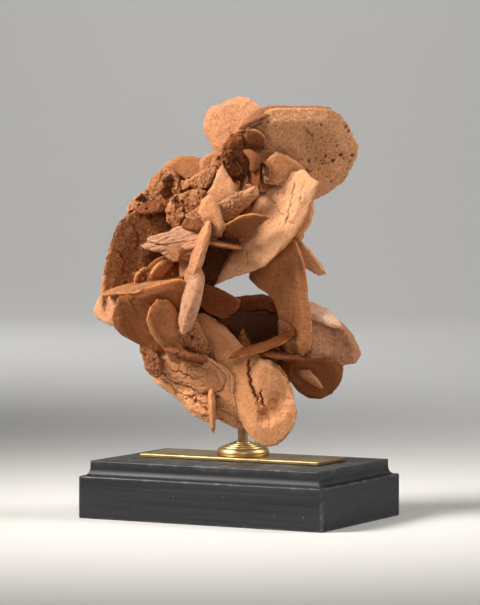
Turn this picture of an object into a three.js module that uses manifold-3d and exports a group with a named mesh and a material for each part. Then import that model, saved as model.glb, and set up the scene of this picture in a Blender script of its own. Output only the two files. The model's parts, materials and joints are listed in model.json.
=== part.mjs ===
// A gypsum sand rose held on a brass pin above a black wooden stand.
// Units are millimetres, +Z is up, and the origin is the centre of the stand's underside.
// The rose is a cluster of thin blade crystals. Each blade is drawn flat in one of three elevations of the
// rose's own frame (x right, y back, z up), laid on its own plane, and given a lens-shaped section. Where
// blades grow through each other, the later one in the list is cut back from the earlier one.
import * as THREE from "three";
import { mergeVertices } from "three/addons/utils/BufferGeometryUtils.js";
import Module from "manifold-3d";

const wasm = await Module();
wasm.setup();

// ---- driving dimensions ----
const BASE = { width: 200, depth: 128, sideTop: 31, top: 42, corner: 2.2, ledge: 2.9, inset: 6.4 };
const COVE_TOP = 37.3; // where the hollow moulding turns upright again
const PLATE = { width: 148, depth: 47, thick: 2.5, corner: 0.8, chamfer: 0.35 };
const FITTING_Y = 5; // plate, collar and rod stand a little behind the base's centre
const COLLAR_HEIGHT = 10;
const ROD = { radius: 3.7, bottom: 20, top: 128, sides: 24 };
const ROSE_TURN = 28; // degrees, the rose's front relative to the base's front
const GAP = 0.3; // clearance between touching pieces
const RIM = 1.1; // blade thickness at its edge
const SHOULDER = 0.74; // where a blade's thick middle begins to fall away to the rim
const OUTLINE_STEP = 9; // length of one facet along a blade's outline
const WOOD = { color: 0x2b2b2d, roughness: 0.55, metalness: 0 };
const BRASS = { color: 0xc9a45c, roughness: 0.32, metalness: 0.95 };
const SAND_SMOOTH = { color: 0xd09468, roughness: 0.9, metalness: 0 };
const SAND_ROUGH = { color: 0xa8683f, roughness: 0.97, metalness: 0 };

const radians = THREE.MathUtils.degToRad;

// ---- solids and meshes ----
function solidFromTriangles(points, triangles) {
  const raw = new THREE.BufferGeometry();
  raw.setAttribute("position", new THREE.Float32BufferAttribute(points.flatMap((p) => p.toArray()), 3));
  raw.setIndex(triangles.flat());
  return solidFromGeometry(raw);
}

function solidFromGeometry(geometry) {
  const bare = geometry.clone();
  bare.deleteAttribute("normal");
  bare.deleteAttribute("uv");
  const merged = mergeVertices(bare, 1e-3);
  return new wasm.Manifold(
    new wasm.Mesh({
      numProp: 3,
      vertProperties: merged.attributes.position.array,
      triVerts: new Uint32Array(merged.index.array),
    }),
  );
}

function meshFromSolid(name, solid, finish) {
  const { vertProperties, triVerts } = solid.getMesh();
  const geometry = new THREE.BufferGeometry();
  geometry.setAttribute("position", new THREE.BufferAttribute(vertProperties, 3));
  geometry.setIndex(new THREE.BufferAttribute(triVerts, 1));
  geometry.computeVertexNormals();
  const mesh = new THREE.Mesh(geometry, new THREE.MeshStandardMaterial(finish));
  mesh.name = name;
  return mesh;
}

const largestBody = (solid) => solid.decompose().reduce((a, b) => (a.volume() > b.volume() ? a : b));

// ---- the stand ----
// A block with rounded corners whose plan shrinks by an inset at each height, one ring after another.
function steppedBlock(width, depth, corner, rings) {
  const cornerSteps = 3;
  const points = [];
  for (const [inset, z] of rings) {
    const r = Math.max(corner - inset * 0.2, 0.3);
    const [w, d] = [width / 2 - inset - r, depth / 2 - inset - r];
    [[w, d], [-w, d], [-w, -d], [w, -d]].forEach(([cx, cy], quarter) => {
      for (let i = 0; i <= cornerSteps; i++) {
        const a = (Math.PI / 2) * (quarter + i / cornerSteps);
        points.push(new THREE.Vector3(cx + r * Math.cos(a), cy + r * Math.sin(a), z));
      }
    });
  }
  const n = 4 * (cornerSteps + 1);
  const triangles = [];
  for (let ring = 0; ring + 1 < rings.length; ring++)
    for (let i = 0; i < n; i++) {
      const [a, b] = [ring * n + i, ring * n + ((i + 1) % n)];
      triangles.push([a, b, b + n], [a, b + n, a + n]);
    }
  const last = (rings.length - 1) * n;
  for (let i = 1; i + 1 < n; i++) triangles.push([0, i + 1, i], [last, last + i, last + i + 1]);
  return solidFromTriangles(points, triangles);
}

function baseRings() {
  const { sideTop, top, ledge, inset } = BASE;
  const cove = 5;
  const rings = [[0.9, 0], [0.25, 0.25], [0, 0.9]];
  rings.push([0, sideTop - 1.2], [0.35, sideTop - 0.35], [1.2, sideTop]);
  for (let i = 0; i <= cove; i++) {
    const a = ((Math.PI / 2) * i) / cove;
    rings.push([ledge + (inset - ledge) * Math.sin(a), COVE_TOP - (COVE_TOP - sideTop - 0.3) * Math.cos(a)]);
  }
  rings.push([inset, top - 0.9], [inset + 0.25, top - 0.25], [inset + 0.9, top]);
  return rings;
}

function plateRings() {
  const { thick, chamfer } = PLATE;
  return [[chamfer, 0], [0, chamfer], [0, thick - chamfer], [chamfer, thick]];
}

const upright = (geometry) => geometry.rotateX(Math.PI / 2);

function cylinder(radius, bottom, top, sides = ROD.sides) {
  const geometry = new THREE.CylinderGeometry(radius, radius, top - bottom, sides);
  return upright(geometry).translate(0, 0, (top + bottom) / 2);
}

// The collar is a low turned cone: a rounded drum with four small steps rising to the rod.
function collarGeometry() {
  const bore = ROD.radius + GAP;
  const drum = [[18.8, 0], [19.5, 1.6], [19.3, 4], [18, 5.3]];
  const steps = [];
  for (let i = 0; i < 4; i++) {
    const [r, z] = [15.8 - i * 3.1, 5.7 + i * 1.15];
    steps.push([r, z], [r - 0.4, z + 0.9]);
  }
  const profile = [[bore, 0], ...drum, ...steps, [bore, COLLAR_HEIGHT], [bore, 0]];
  return upright(new THREE.LatheGeometry(profile.map(([r, z]) => new THREE.Vector2(r, z)), 36));
}

function standMeshes() {
  const plateBottom = BASE.top + GAP;
  const collarBottom = plateBottom + PLATE.thick + GAP;
  const rodHole = cylinder(ROD.radius + GAP, ROD.bottom - GAP, ROD.top).translate(0, FITTING_Y, 0);
  const hole = solidFromGeometry(rodHole);
  const base = steppedBlock(BASE.width, BASE.depth, BASE.corner, baseRings());
  const plate = steppedBlock(PLATE.width, PLATE.depth, PLATE.corner, plateRings());
  const collar = solidFromGeometry(collarGeometry());
  const rod = solidFromGeometry(cylinder(ROD.radius, ROD.bottom, ROD.top));
  return [
    meshFromSolid("wooden_base", base.subtract(hole), WOOD),
    meshFromSolid("brass_plate", plate.translate([0, FITTING_Y, plateBottom]).subtract(hole), BRASS),
    meshFromSolid("brass_collar", collar.translate([0, FITTING_Y, collarBottom]), BRASS),
    meshFromSolid("brass_rod", rod.translate([0, FITTING_Y, 0]), BRASS),
  ];
}

// ---- the crystals ----
// Which two axes an elevation shows, and which one it looks along.
const ELEVATIONS = {
  front: { across: "x", up: "z", depth: "y" },
  side: { across: "y", up: "z", depth: "x" },
  plan: { across: "x", up: "y", depth: "z" },
};

// The direction that a blade's face looks in: yaw 0 is the front and +90 the right, pitch +90 is up.
function facing(yaw, pitch) {
  const [a, e] = [radians(yaw), radians(pitch)];
  return new THREE.Vector3(Math.sin(a) * Math.cos(e), -Math.cos(a) * Math.cos(e), Math.sin(e));
}

// The drawn outline as an even, rounded loop of points on the blade's plane, running anticlockwise
// about its normal.
function outlineOnPlane({ drawn = "front", at, yaw = 0, pitch = 0, outline }) {
  const { across, up, depth } = ELEVATIONS[drawn];
  const normal = facing(yaw, pitch);
  const through = new THREE.Vector3(...at);
  const corners = outline.map(([a, b]) => {
    const p = new THREE.Vector3();
    p[across] = a;
    p[up] = b;
    const rise = normal[across] * (a - through[across]) + normal[up] * (b - through[up]);
    p[depth] = through[depth] - rise / normal[depth];
    return p;
  });
  const curve = new THREE.CatmullRomCurve3(corners, true, "catmullrom", 0.4);
  const facets = THREE.MathUtils.clamp(Math.round(curve.getLength() / OUTLINE_STEP), 10, 28);
  const loop = curve.getSpacedPoints(facets).slice(0, facets);
  const centre = loop.reduce((sum, p) => sum.add(p), new THREE.Vector3()).divideScalar(facets);
  const turn = new THREE.Vector3();
  loop.forEach((p, i) => {
    const next = loop[(i + 1) % facets];
    turn.add(p.clone().sub(centre).cross(next.clone().sub(centre)));
  });
  if (turn.dot(normal) < 0) loop.reverse();
  return { loop, centre, normal };
}

// A blade: a thin rim, a shoulder ring near full thickness and a crowned middle, bowed along its normal.
// extra grows it on every side, for cutting clearance into its neighbours.
function bladeSolid(crystal, extra = 0) {
  const { thick = 6, bow = 0, rim = RIM } = crystal;
  const { loop, centre, normal } = outlineOnPlane(crystal);
  const n = loop.length;
  const point = (p, share, lift) => {
    const out = p.clone().sub(centre);
    const grown = out.clone().multiplyScalar(share + (extra * share) / out.length());
    return centre.clone().add(grown).addScaledVector(normal, lift + bow * (1 - share * share));
  };
  const points = [];
  for (const side of [1, -1]) {
    for (const p of loop) points.push(point(p, 1, side * (rim / 2 + extra)));
    for (const p of loop) points.push(point(p, SHOULDER, side * (thick * 0.42 + extra)));
    points.push(centre.clone().addScaledVector(normal, bow + side * (thick / 2 + extra)));
  }
  const back = 2 * n + 1;
  const triangles = [];
  for (let i = 0; i < n; i++) {
    const j = (i + 1) % n;
    triangles.push([i, j, n + j], [i, n + j, n + i], [n + i, n + j, 2 * n]);
    triangles.push([back + j, back + i, back + n + i], [back + j, back + n + i, back + n + j]);
    triangles.push([back + n + j, back + n + i, back + 2 * n]);
    triangles.push([i, back + i, back + j], [i, back + j, j]);
  }
  return solidFromTriangles(points, triangles);
}

// Every crystal. A blade comes before the ones that grow out of it, because the later one is cut back.
const CRYSTALS = [
  // the long smooth tongue at the bottom and the fold on its front
  { name: "tongue", at: [10, -19, 95], yaw: -18, pitch: 10, thick: 9, bow: 1,
    outline: [[-34, 149], [-27, 131], [-20, 117], [-13, 103], [-8, 90], [-3, 80], [2, 69], [8, 60], [14, 55],
      [20, 53.5], [28, 55.5], [33, 59], [39, 69], [43, 76], [42, 82], [38, 92], [33, 106], [25, 116],
      [5, 125], [-10, 140], [-25, 150]] },
  { name: "tongue_fold", at: [21, -24, 98], yaw: 10, pitch: 3, thick: 9, bow: 2,
    outline: [[8, 112], [8.5, 104], [11, 96], [15, 88], [19, 80], [24, 71], [32, 67], [39, 75], [40, 88],
      [37, 100], [32, 110], [25, 116], [15, 119]] },
  // the big plates of the upper half
  { name: "main_plate", at: [25, -12, 215], yaw: -32, pitch: 12, thick: 8,
    outline: [[58, 246], [56, 239], [53, 233], [50, 225], [47, 217], [41, 209], [36, 201], [30, 196],
      [24, 190], [18, 184], [10, 181], [0, 177.5], [-10, 174], [-18, 168.5], [-13, 183], [-4, 197], [2, 208],
      [2, 220], [6, 232], [14, 243], [24, 248], [36, 251], [47, 256], [52, 250]] },
  { name: "crown_plate", at: [40, 4, 268], yaw: 10, pitch: -15, thick: 12, rough: true,
    outline: [[-10, 262], [-8, 277], [0, 285], [8, 291], [18, 298], [30, 300.5], [45, 300], [58, 300.5],
      [68, 299], [75, 294], [80, 288], [83, 280], [88, 272], [87, 264], [83, 258], [81, 250], [74, 243],
      [66, 238], [55, 232], [38, 234], [18, 238], [0, 246]] },
  { name: "left_plate", at: [-76, 10, 192], yaw: 30, pitch: -5, thick: 10, rough: true,
    outline: [[-88, 217], [-92, 209], [-95, 199], [-98, 189], [-100, 179], [-101, 169], [-102, 160],
      [-98, 150], [-85, 147], [-70, 157], [-56, 172], [-46, 195], [-47, 215], [-51, 230], [-61, 230],
      [-73, 226], [-82, 222]] },
  { name: "right_wall", at: [36, -3, 160], yaw: -31, pitch: 0, thick: 9,
    outline: [[41, 204], [44, 196], [47, 187], [49, 178], [50, 170], [50, 162], [52, 152], [53, 140],
      [53, 130], [51, 123], [46, 119], [38, 118.5], [33, 122], [30, 130], [29, 144], [26, 157], [20, 165],
      [13, 169], [7, 174], [7, 182], [20, 191], [33, 202]] },
  { name: "crown_left", at: [-6, 12, 286], yaw: -35, pitch: 10, thick: 11,
    outline: [[-27, 286], [-25, 296], [-20, 302], [-12, 303.5], [-6, 307], [0, 309], [7, 307.5], [13, 303],
      [19, 298], [20, 288], [12, 276], [0, 266], [-12, 261], [-18, 266], [-23, 276]] },
  { name: "crown_leaf", at: [11, -13, 279], yaw: 0, pitch: -32, thick: 4,
    outline: [[3, 280], [6, 284], [12, 284.5], [17, 281], [19.5, 277], [18, 272], [12, 271], [6, 273]] },
  // the rough spine down the upper left
  { name: "spine_upper", at: [-2, -6, 266], yaw: 20, pitch: -20, thick: 10, rough: true,
    outline: [[-12, 272], [-9, 278], [-5, 282], [0, 284], [3, 275], [7, 264], [9, 256], [8, 250], [2, 247],
      [-6, 248], [-11, 254], [-14, 262]] },
  { name: "spine_middle", at: [-25, 0, 248], yaw: -20, pitch: 10, thick: 10, rough: true,
    outline: [[-45, 236], [-42, 246], [-35, 249], [-27, 253], [-20, 258], [-14, 266], [-9, 272], [-6, 262],
      [-11, 252], [-16, 244], [-22, 238], [-32, 234]] },
  { name: "spine_lower", at: [-39, -5, 225], yaw: -10, pitch: -10, thick: 10, rough: true,
    outline: [[-54, 226], [-50, 232], [-44, 237], [-34, 240], [-24, 238], [-22, 228], [-24, 216], [-32, 209],
      [-45, 209], [-53, 218]] },
  { name: "shoulder_lobe", at: [-42, 18, 255], yaw: -5, pitch: 25, thick: 10,
    outline: [[-62, 249], [-58, 256], [-51, 262.5], [-44, 265.5], [-36, 265.5], [-28, 262.5], [-19, 267],
      [-13, 264], [-14, 254], [-26, 247], [-40, 243], [-54, 243]] },
  { name: "shoulder_slope", at: [-56, 12, 243], yaw: -25, pitch: 0, thick: 9, rough: true,
    outline: [[-68, 240], [-63, 249], [-57, 257], [-50, 256], [-44, 250], [-42, 240], [-47, 231], [-58, 229],
      [-66, 234]] },
  { name: "shoulder_step", at: [-68, 17, 231], yaw: -5, pitch: 10, thick: 8, rough: true,
    outline: [[-84, 221], [-82, 229], [-77, 235], [-72, 239], [-64, 241], [-56, 237], [-50, 229], [-58, 222],
      [-72, 219]] },
  // leaves in front of the main plate
  { name: "leaf_upper", at: [-12, -14, 242], yaw: -28, pitch: -5, thick: 5,
    outline: [[-12.5, 260], [-7, 250], [-1, 240], [-4, 231], [-12, 225], [-20, 227], [-25, 236], [-20, 243],
      [-17, 252]] },
  { name: "leaf_lower", at: [-20, -19, 220], yaw: -32, pitch: -8, thick: 6,
    outline: [[-22, 238], [-28, 233], [-30, 224], [-27, 213], [-26, 204], [-18, 203], [-12, 207], [-10, 214],
      [-13, 222], [-16, 232]] },
  { name: "rough_leaf", at: [-1, -15, 230], yaw: 10, pitch: -25, thick: 7, rough: true,
    outline: [[-17, 229], [-5, 236], [0, 239], [8, 241.5], [15, 244], [15, 238], [9, 232], [3, 226],
      [-2, 221], [-9, 216], [-15, 219]] },
  { name: "hooded_leaf", at: [5, -21, 213], yaw: 0, pitch: -40, thick: 4.5,
    outline: [[-13, 213], [-8, 217], [-2, 221], [6, 223.5], [15, 222.5], [24, 222], [18, 217], [12, 212],
      [6, 207], [0, 203], [-7, 204], [-12, 208]] },
  { name: "niche_leaf", at: [34, -10, 257], yaw: 15, pitch: 10, thick: 5,
    outline: [[26, 268.5], [34, 266], [42, 261], [49, 254], [44, 248], [32, 244], [20, 243], [17, 254],
      [21, 265]] },
  { name: "niche_blade", at: [11, -6, 250], yaw: -50, pitch: 0, thick: 4,
    outline: [[2, 238], [4, 250], [10, 256], [17, 260.5], [23, 257], [20, 246], [12, 238]] },
  { name: "plate_back_edge", at: [46, -5, 222], yaw: -15, pitch: 0, thick: 6,
    outline: [[50, 240], [54, 234], [54.5, 225], [53.5, 217], [49, 211], [45, 206], [40, 203], [36, 208],
      [40, 222], [44, 236]] },
  { name: "small_shelf", drawn: "plan", at: [-12, -18, 200.5], yaw: 76, pitch: 78, thick: 4.5,
    outline: [[-25, -27], [-12, -32], [0, -28], [3, -18], [0, -4], [-14, -2], [-25, -10]] },
  { name: "recess_wall", at: [-14, 8, 188], yaw: 20, pitch: 0, thick: 6, rough: true,
    outline: [[-32, 206], [-24, 213], [-12, 216], [0, 211], [1, 200], [-2, 190], [-10, 178], [-18, 169],
      [-24, 166], [-31, 168], [-33, 186]] },
  // the upright spear left of the middle
  { name: "spear", drawn: "side", at: [-35, -26, 160], yaw: -86, pitch: 15, thick: 13,
    outline: [[-31, 135], [-38, 146], [-43, 158], [-42, 170], [-36, 180], [-22, 185], [-10, 176], [-9, 160],
      [-17, 146], [-25, 138]] },
  { name: "spear_fin", drawn: "side", at: [-30, -20, 195], yaw: -80, pitch: 18, thick: 8,
    outline: [[-26, 218], [-33, 206], [-37, 192], [-36, 178], [-24, 168], [-8, 176], [0, 195], [-8, 210],
      [-18, 218]] },
  { name: "fin_sliver", at: [-38, -12, 187], yaw: -55, pitch: 0, thick: 4,
    outline: [[-43, 190], [-40, 195], [-34, 199.5], [-31, 196], [-34, 186], [-38, 177], [-43, 174]] },
  // the left side: flaky shelf, nest of small blades, shelf and the faces under it
  { name: "flaky_shelf", at: [-50, -8, 203], yaw: -10, pitch: 50, thick: 7,
    outline: [[-71, 200], [-65, 204], [-58, 207], [-50, 210], [-41, 213], [-34, 211], [-27, 207], [-30, 200],
      [-38, 197], [-44, 188], [-50, 194], [-58, 198], [-65, 198.5]] },
  { name: "left_shelf", drawn: "plan", at: [-75, -8, 168.5], yaw: -56, pitch: 79, thick: 5,
    outline: [[-101, -14], [-90, -21], [-72, -24], [-56, -20], [-42, -10], [-44, 8], [-62, 14], [-82, 8],
      [-97, -4]] },
  { name: "left_face", at: [-60, -17, 158], yaw: 0, pitch: -32, thick: 9,
    outline: [[-87, 162], [-75, 167], [-66, 170], [-55, 173.5], [-45, 176], [-37, 175], [-33, 160],
      [-40, 146], [-54, 138], [-68, 140], [-80, 148]] },
  { name: "ear", at: [-55, -23, 138], yaw: 15, pitch: -10, thick: 6,
    outline: [[-60, 162], [-66, 154], [-68, 146], [-66, 139], [-62, 132], [-57, 127], [-53, 120], [-50, 113],
      [-44, 112.5], [-39, 118], [-42, 130], [-44, 140], [-44, 150], [-50, 160]] },
  { name: "lower_flap", at: [-76, -11, 144], yaw: -12, pitch: -32, thick: 8,
    outline: [[-89, 162], [-92, 154], [-94, 145], [-91, 138], [-83, 131], [-73, 127], [-64, 120], [-57, 113],
      [-52, 124], [-56, 140], [-64, 155], [-77, 163]] },
  { name: "far_corner", at: [-95, 0, 152], yaw: -50, pitch: -5, thick: 6,
    outline: [[-101, 165], [-105, 158], [-108, 151], [-106, 146.5], [-100, 142.5], [-92, 140], [-84, 146],
      [-84, 158], [-92, 165]] },
  { name: "nest_left", at: [-72, -6, 177], yaw: 25, pitch: -10, thick: 4,
    outline: [[-77, 171], [-77, 177], [-73, 182], [-68, 184.5], [-65, 180], [-67, 173], [-72, 168]] },
  { name: "nest_middle", at: [-58, -6, 182], yaw: 20, pitch: -20, thick: 4,
    outline: [[-68, 174], [-66, 180], [-61, 186], [-55, 190], [-49, 193], [-46, 188], [-52, 182], [-57, 176],
      [-62, 171]] },
  { name: "nest_right", at: [-50, -1, 181], yaw: 5, pitch: -5, thick: 4,
    outline: [[-59, 174], [-55, 184], [-50, 188], [-44, 187], [-41, 180], [-43, 172], [-52, 170]] },
  // the lower left: layered plate, rough web and the spike
  { name: "bottom_plate", at: [-30, -5, 95], yaw: -24, pitch: -6, thick: 9,
    outline: [[-67, 107], [-65, 101], [-60, 95], [-54, 93], [-48, 88], [-42, 82.5], [-36, 76], [-28, 72],
      [-21, 69.5], [-14, 72], [-8, 68.5], [0, 65], [8, 70], [6, 86], [-4, 104], [-18, 116], [-34, 121],
      [-52, 122], [-66, 120]] },
  { name: "bottom_sheet", at: [-35, -8.5, 107], yaw: -24, pitch: -9, thick: 5,
    outline: [[-61, 113], [-55, 107], [-50, 101], [-44, 101], [-40, 96], [-34, 95.5], [-30, 91], [-23, 90],
      [-17, 91], [-12, 95], [-11, 103], [-18, 112], [-30, 120], [-46, 122], [-57, 119]] },
  { name: "rough_web", at: [-32, -12, 130], yaw: 25, pitch: -10, thick: 6, rough: true,
    outline: [[-49, 140], [-46, 132], [-39, 127], [-33, 122], [-27, 117], [-20, 109], [-14, 108], [-18, 120],
      [-25, 132], [-31, 146], [-40, 152], [-48, 149]] },
  { name: "spike", drawn: "side", at: [-20, -21, 80], yaw: -86, pitch: -2, thick: 5,
    outline: [[-22, 62.5], [-17, 68], [-13, 80], [-13, 92], [-21, 97], [-28, 91], [-29, 78], [-26, 68]] },
  // the mouth in the middle: its lip and inner walls
  { name: "mouth_lip", at: [15, -19, 131], yaw: 10, pitch: 42, thick: 5,
    outline: [[-11, 118], [0, 120.5], [8, 122], [18, 126], [30, 132.5], [40, 137], [44, 140.5], [35, 144],
      [25, 144.5], [10, 139], [-4, 134], [-10, 127]] },
  { name: "inner_left", at: [-14, -6, 160], yaw: -15, pitch: -10, thick: 6,
    outline: [[-30, 173], [-22, 171], [-17, 169.5], [-9, 165.5], [-3, 162], [2, 158], [-2, 151], [-12, 147],
      [-22, 149], [-31, 158]] },
  { name: "inner_back", at: [12, 14, 152], yaw: 0, pitch: 10, thick: 7,
    outline: [[-9, 161], [2, 162], [12, 163], [20, 163], [30, 158], [37, 147], [28, 136], [2, 136],
      [-10, 147]] },
  { name: "inner_floor", at: [12, 2, 138], yaw: 5, pitch: -15, thick: 7, rough: true,
    outline: [[-14, 153], [5, 151], [20, 150], [32, 147], [40, 140], [33, 127], [10, 121], [-6, 123],
      [-14, 138]] },
  // the right side
  { name: "right_finger", at: [50, 7, 190], yaw: -40, pitch: 0, thick: 5,
    outline: [[38, 205], [46, 202.5], [51, 197], [56, 190], [61, 184], [64, 178], [62, 175.5], [56, 178],
      [48, 183], [38, 190]] },
  { name: "right_lobe", at: [68, 6, 134], yaw: 13, pitch: 2, thick: 12,
    outline: [[46, 158], [55, 156.5], [65, 151.5], [72, 145], [80, 138], [86, 128.5], [90, 117], [86, 112],
      [78, 111], [70, 113], [60, 115], [50, 118], [43, 130], [41, 146]] },
  { name: "lobe_facet", at: [63, -2, 149], yaw: 10, pitch: 45, thick: 5,
    outline: [[48, 158], [60, 155], [67, 150.5], [73, 144], [77, 139], [67, 140.5], [60, 144], [50, 147]] },
  { name: "lower_lobe", at: [58, 8, 102], yaw: 5, pitch: -20, thick: 9,
    outline: [[32, 104], [38, 97], [43, 91], [48, 87], [55, 85.5], [61, 85.5], [68, 89], [74, 95.5],
      [77, 106], [76, 114], [71, 120], [56, 121], [42, 121], [32, 117]] },
  { name: "lower_leaf", at: [51, -3, 101], yaw: 0, pitch: 35, thick: 3.5,
    outline: [[41, 106.5], [45, 102.5], [50, 99.5], [56, 96.5], [62, 93.5], [60, 98], [56, 103], [51, 107],
      [45, 108]] },
  // the back, and the two blades that tie it to the front; the lower one holds the rod
  { name: "core_lower", drawn: "side", at: [2.3, 4, 110], yaw: -90, pitch: 0, thick: 14,
    outline: [[0, 144], [14, 152], [34, 148], [42, 124], [34, 98], [18, 76], [6, 68], [-4, 70], [-11, 90],
      [-11, 116], [-5, 132]] },
  { name: "core_upper", drawn: "side", at: [-2, 22, 236], yaw: -70, pitch: 8, thick: 9,
    outline: [[-6, 258], [18, 268], [40, 262], [54, 242], [48, 218], [30, 206], [6, 208], [-4, 226]] },
  { name: "back_crown", at: [34, 24, 268], yaw: 160, pitch: 24, thick: 9,
    outline: [[-10, 270], [0, 286], [20, 290], [34, 297], [52, 293], [72, 282], [76, 268], [64, 258],
      [58, 244], [38, 240], [22, 247], [4, 250]] },
  { name: "back_shoulder", at: [-40, 34, 228], yaw: 205, pitch: 32, thick: 9,
    outline: [[-78, 220], [-68, 234], [-52, 240], [-44, 254], [-26, 252], [-8, 246], [0, 228], [-12, 214],
      [-22, 202], [-44, 204], [-64, 206]] },
  { name: "back_left", at: [-66, 32, 178], yaw: 232, pitch: -8, thick: 9,
    outline: [[-94, 168], [-90, 192], [-80, 206], [-66, 206], [-58, 214], [-44, 198], [-36, 176], [-44, 158],
      [-60, 150], [-84, 152]] },
  { name: "back_right", at: [22, 30, 212], yaw: 138, pitch: -16, thick: 9,
    outline: [[-4, 232], [12, 238], [20, 248], [40, 240], [48, 222], [42, 198], [26, 186], [6, 187],
      [-8, 202]] },
  { name: "back_low_left", at: [-46, 32, 128], yaw: 200, pitch: -30, thick: 9,
    outline: [[-82, 144], [-66, 150], [-54, 160], [-34, 156], [-16, 144], [-12, 122], [-24, 108], [-30, 94],
      [-46, 94], [-62, 104], [-72, 122]] },
  { name: "back_low_right", at: [34, 30, 130], yaw: 146, pitch: -22, thick: 9,
    outline: [[-2, 150], [16, 157], [30, 152], [44, 156], [64, 144], [76, 128], [68, 114], [50, 112],
      [40, 102], [18, 104], [0, 114], [-8, 134]] },
];

// Blades in the list's order, each cut back from the rod and from the blades before it.
function roseMeshes() {
  const rodAt = new THREE.Vector2(0, FITTING_Y).rotateAround(new THREE.Vector2(), -radians(ROSE_TURN));
  const rodHole = cylinder(ROD.radius + GAP, ROD.bottom, ROD.top + GAP).translate(rodAt.x, rodAt.y, 0);
  const taken = [solidFromGeometry(rodHole)];
  return CRYSTALS.map((crystal) => {
    const whole = bladeSolid(crystal);
    const kept = largestBody(whole.subtract(wasm.Manifold.union(taken)));
    taken.push(bladeSolid(crystal, GAP));
    return meshFromSolid(crystal.name, kept, crystal.rough ? SAND_ROUGH : SAND_SMOOTH);
  });
}

const rose = new THREE.Group();
rose.rotation.z = radians(ROSE_TURN);
rose.add(...roseMeshes());

const mountedRose = new THREE.Group();
mountedRose.add(...standMeshes(), rose);

export default mountedRose;
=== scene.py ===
"""A gypsum sand rose on its display stand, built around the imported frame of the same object.

Every length in the settings is in metres. The rose's blades start from the frame's own solids, which are
voxel-remeshed and weathered by one Geometry Nodes tree; smaller crystals, the crust on the rough blades and
the turned and moulded parts of the stand are added here.
"""
import json
import math
import random

import bmesh
import bpy
import numpy as np
from mathutils import Matrix, Vector


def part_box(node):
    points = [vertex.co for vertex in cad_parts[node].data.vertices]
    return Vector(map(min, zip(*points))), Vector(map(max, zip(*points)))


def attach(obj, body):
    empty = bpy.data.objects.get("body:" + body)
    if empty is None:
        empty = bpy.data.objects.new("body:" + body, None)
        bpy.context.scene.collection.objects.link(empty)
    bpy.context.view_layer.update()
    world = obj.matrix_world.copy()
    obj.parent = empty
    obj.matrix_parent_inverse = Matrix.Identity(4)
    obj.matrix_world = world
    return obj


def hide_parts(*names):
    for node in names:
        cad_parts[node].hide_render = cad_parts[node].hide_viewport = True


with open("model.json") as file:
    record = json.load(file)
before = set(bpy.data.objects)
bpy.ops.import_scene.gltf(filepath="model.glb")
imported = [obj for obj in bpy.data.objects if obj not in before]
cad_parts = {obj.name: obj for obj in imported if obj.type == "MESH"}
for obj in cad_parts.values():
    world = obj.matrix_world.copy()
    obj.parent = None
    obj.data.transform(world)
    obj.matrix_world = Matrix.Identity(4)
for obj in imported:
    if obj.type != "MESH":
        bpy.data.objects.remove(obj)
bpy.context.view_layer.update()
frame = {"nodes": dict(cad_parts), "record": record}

bl_info = {
    "name": "Sand Rose",
    "version": (1, 0, 0),
    "blender": (4, 5, 0),
    "location": "3D View > Sidebar > Sand Rose",
    "description": "Builds a desert sand rose on a moulded black base with brass fittings",
    "category": "Add Mesh",
}

NODES = frame["nodes"]
BODY = "root"
STAND_NODES = ("wooden_base", "brass_plate", "brass_collar", "brass_rod")
ROUGH_SLOT = "rough_gypsum"
SMOOTH_SLOT = "smooth_gypsum"
SLOT_OF = {row["node"]: row["material_slot"] for row in frame["record"]["subparts"]}
ROSE_YAW = 28  # degrees of the rose's own front, from the base's front towards its right
ROSE_TURN = math.radians(ROSE_YAW)
MM = 0.001
FITTING_Y = 0.005  # the brass stands this far behind the base's centre


# ---- node trees ----
def fill(tree, node, inputs):
    """Links or sets a node's inputs, given as a dict by socket name or as a list in socket order."""
    sockets = [s for s in node.inputs if s.enabled]
    if isinstance(inputs, dict):
        pairs = [(next(s for s in sockets if s.name == key), value) for key, value in inputs.items()]
    else:
        pairs = list(zip(sockets, inputs))
    for socket, value in pairs:
        if isinstance(value, bpy.types.NodeSocket):
            tree.links.new(value, socket)
        else:
            socket.default_value = value


def put(tree, kind, inputs=(), **settings):
    """Adds a node with its settings and inputs to a tree."""
    node = tree.nodes.new(kind)
    for key, value in settings.items():
        setattr(node, key, value)
    fill(tree, node, inputs)
    return node


def out(node, name=None):
    """A node's first live output, or the one of that name."""
    return next(s for s in node.outputs if s.enabled and name in (None, s.name))


def math_of(tree, operation, *values, clamp=False):
    return out(put(tree, "ShaderNodeMath", values, operation=operation, use_clamp=clamp))


def times(tree, a, b, clamp=False):
    return math_of(tree, "MULTIPLY", a, b, clamp=clamp)


def opposite(tree, value):
    """A share of 0 to 1 turned round, so that 1 is 0."""
    return math_of(tree, "SUBTRACT", 1.0, value)


def scaled(tree, vector, factor):
    return out(put(tree, "ShaderNodeVectorMath", {"Vector": vector, "Scale": factor}, operation="SCALE"))


def added(tree, a, b):
    return out(put(tree, "ShaderNodeVectorMath", [a, b], operation="ADD"))


def less(tree, a, b):
    return out(put(tree, "ShaderNodeVectorMath", [a, b], operation="SUBTRACT"))


def dotted(tree, a, b):
    return out(put(tree, "ShaderNodeVectorMath", [a, b], operation="DOT_PRODUCT"), "Value")


def ramped(tree, value, low, high, start=0.0, end=1.0):
    """value eased from start at low to end at high."""
    node = put(
        tree,
        "ShaderNodeMapRange",
        {"Value": value, "From Min": low, "From Max": high, "To Min": start, "To Max": end},
        interpolation_type="SMOOTHSTEP",
    )
    return out(node)


def noise_of(tree, vector, scale, detail=2.0, seed=0.0, roughness=0.5, output="Fac"):
    node = put(
        tree,
        "ShaderNodeTexNoise",
        {"Vector": vector, "W": seed, "Scale": scale, "Detail": detail, "Roughness": roughness},
        noise_dimensions="4D",
    )
    return out(node, output)


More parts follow.
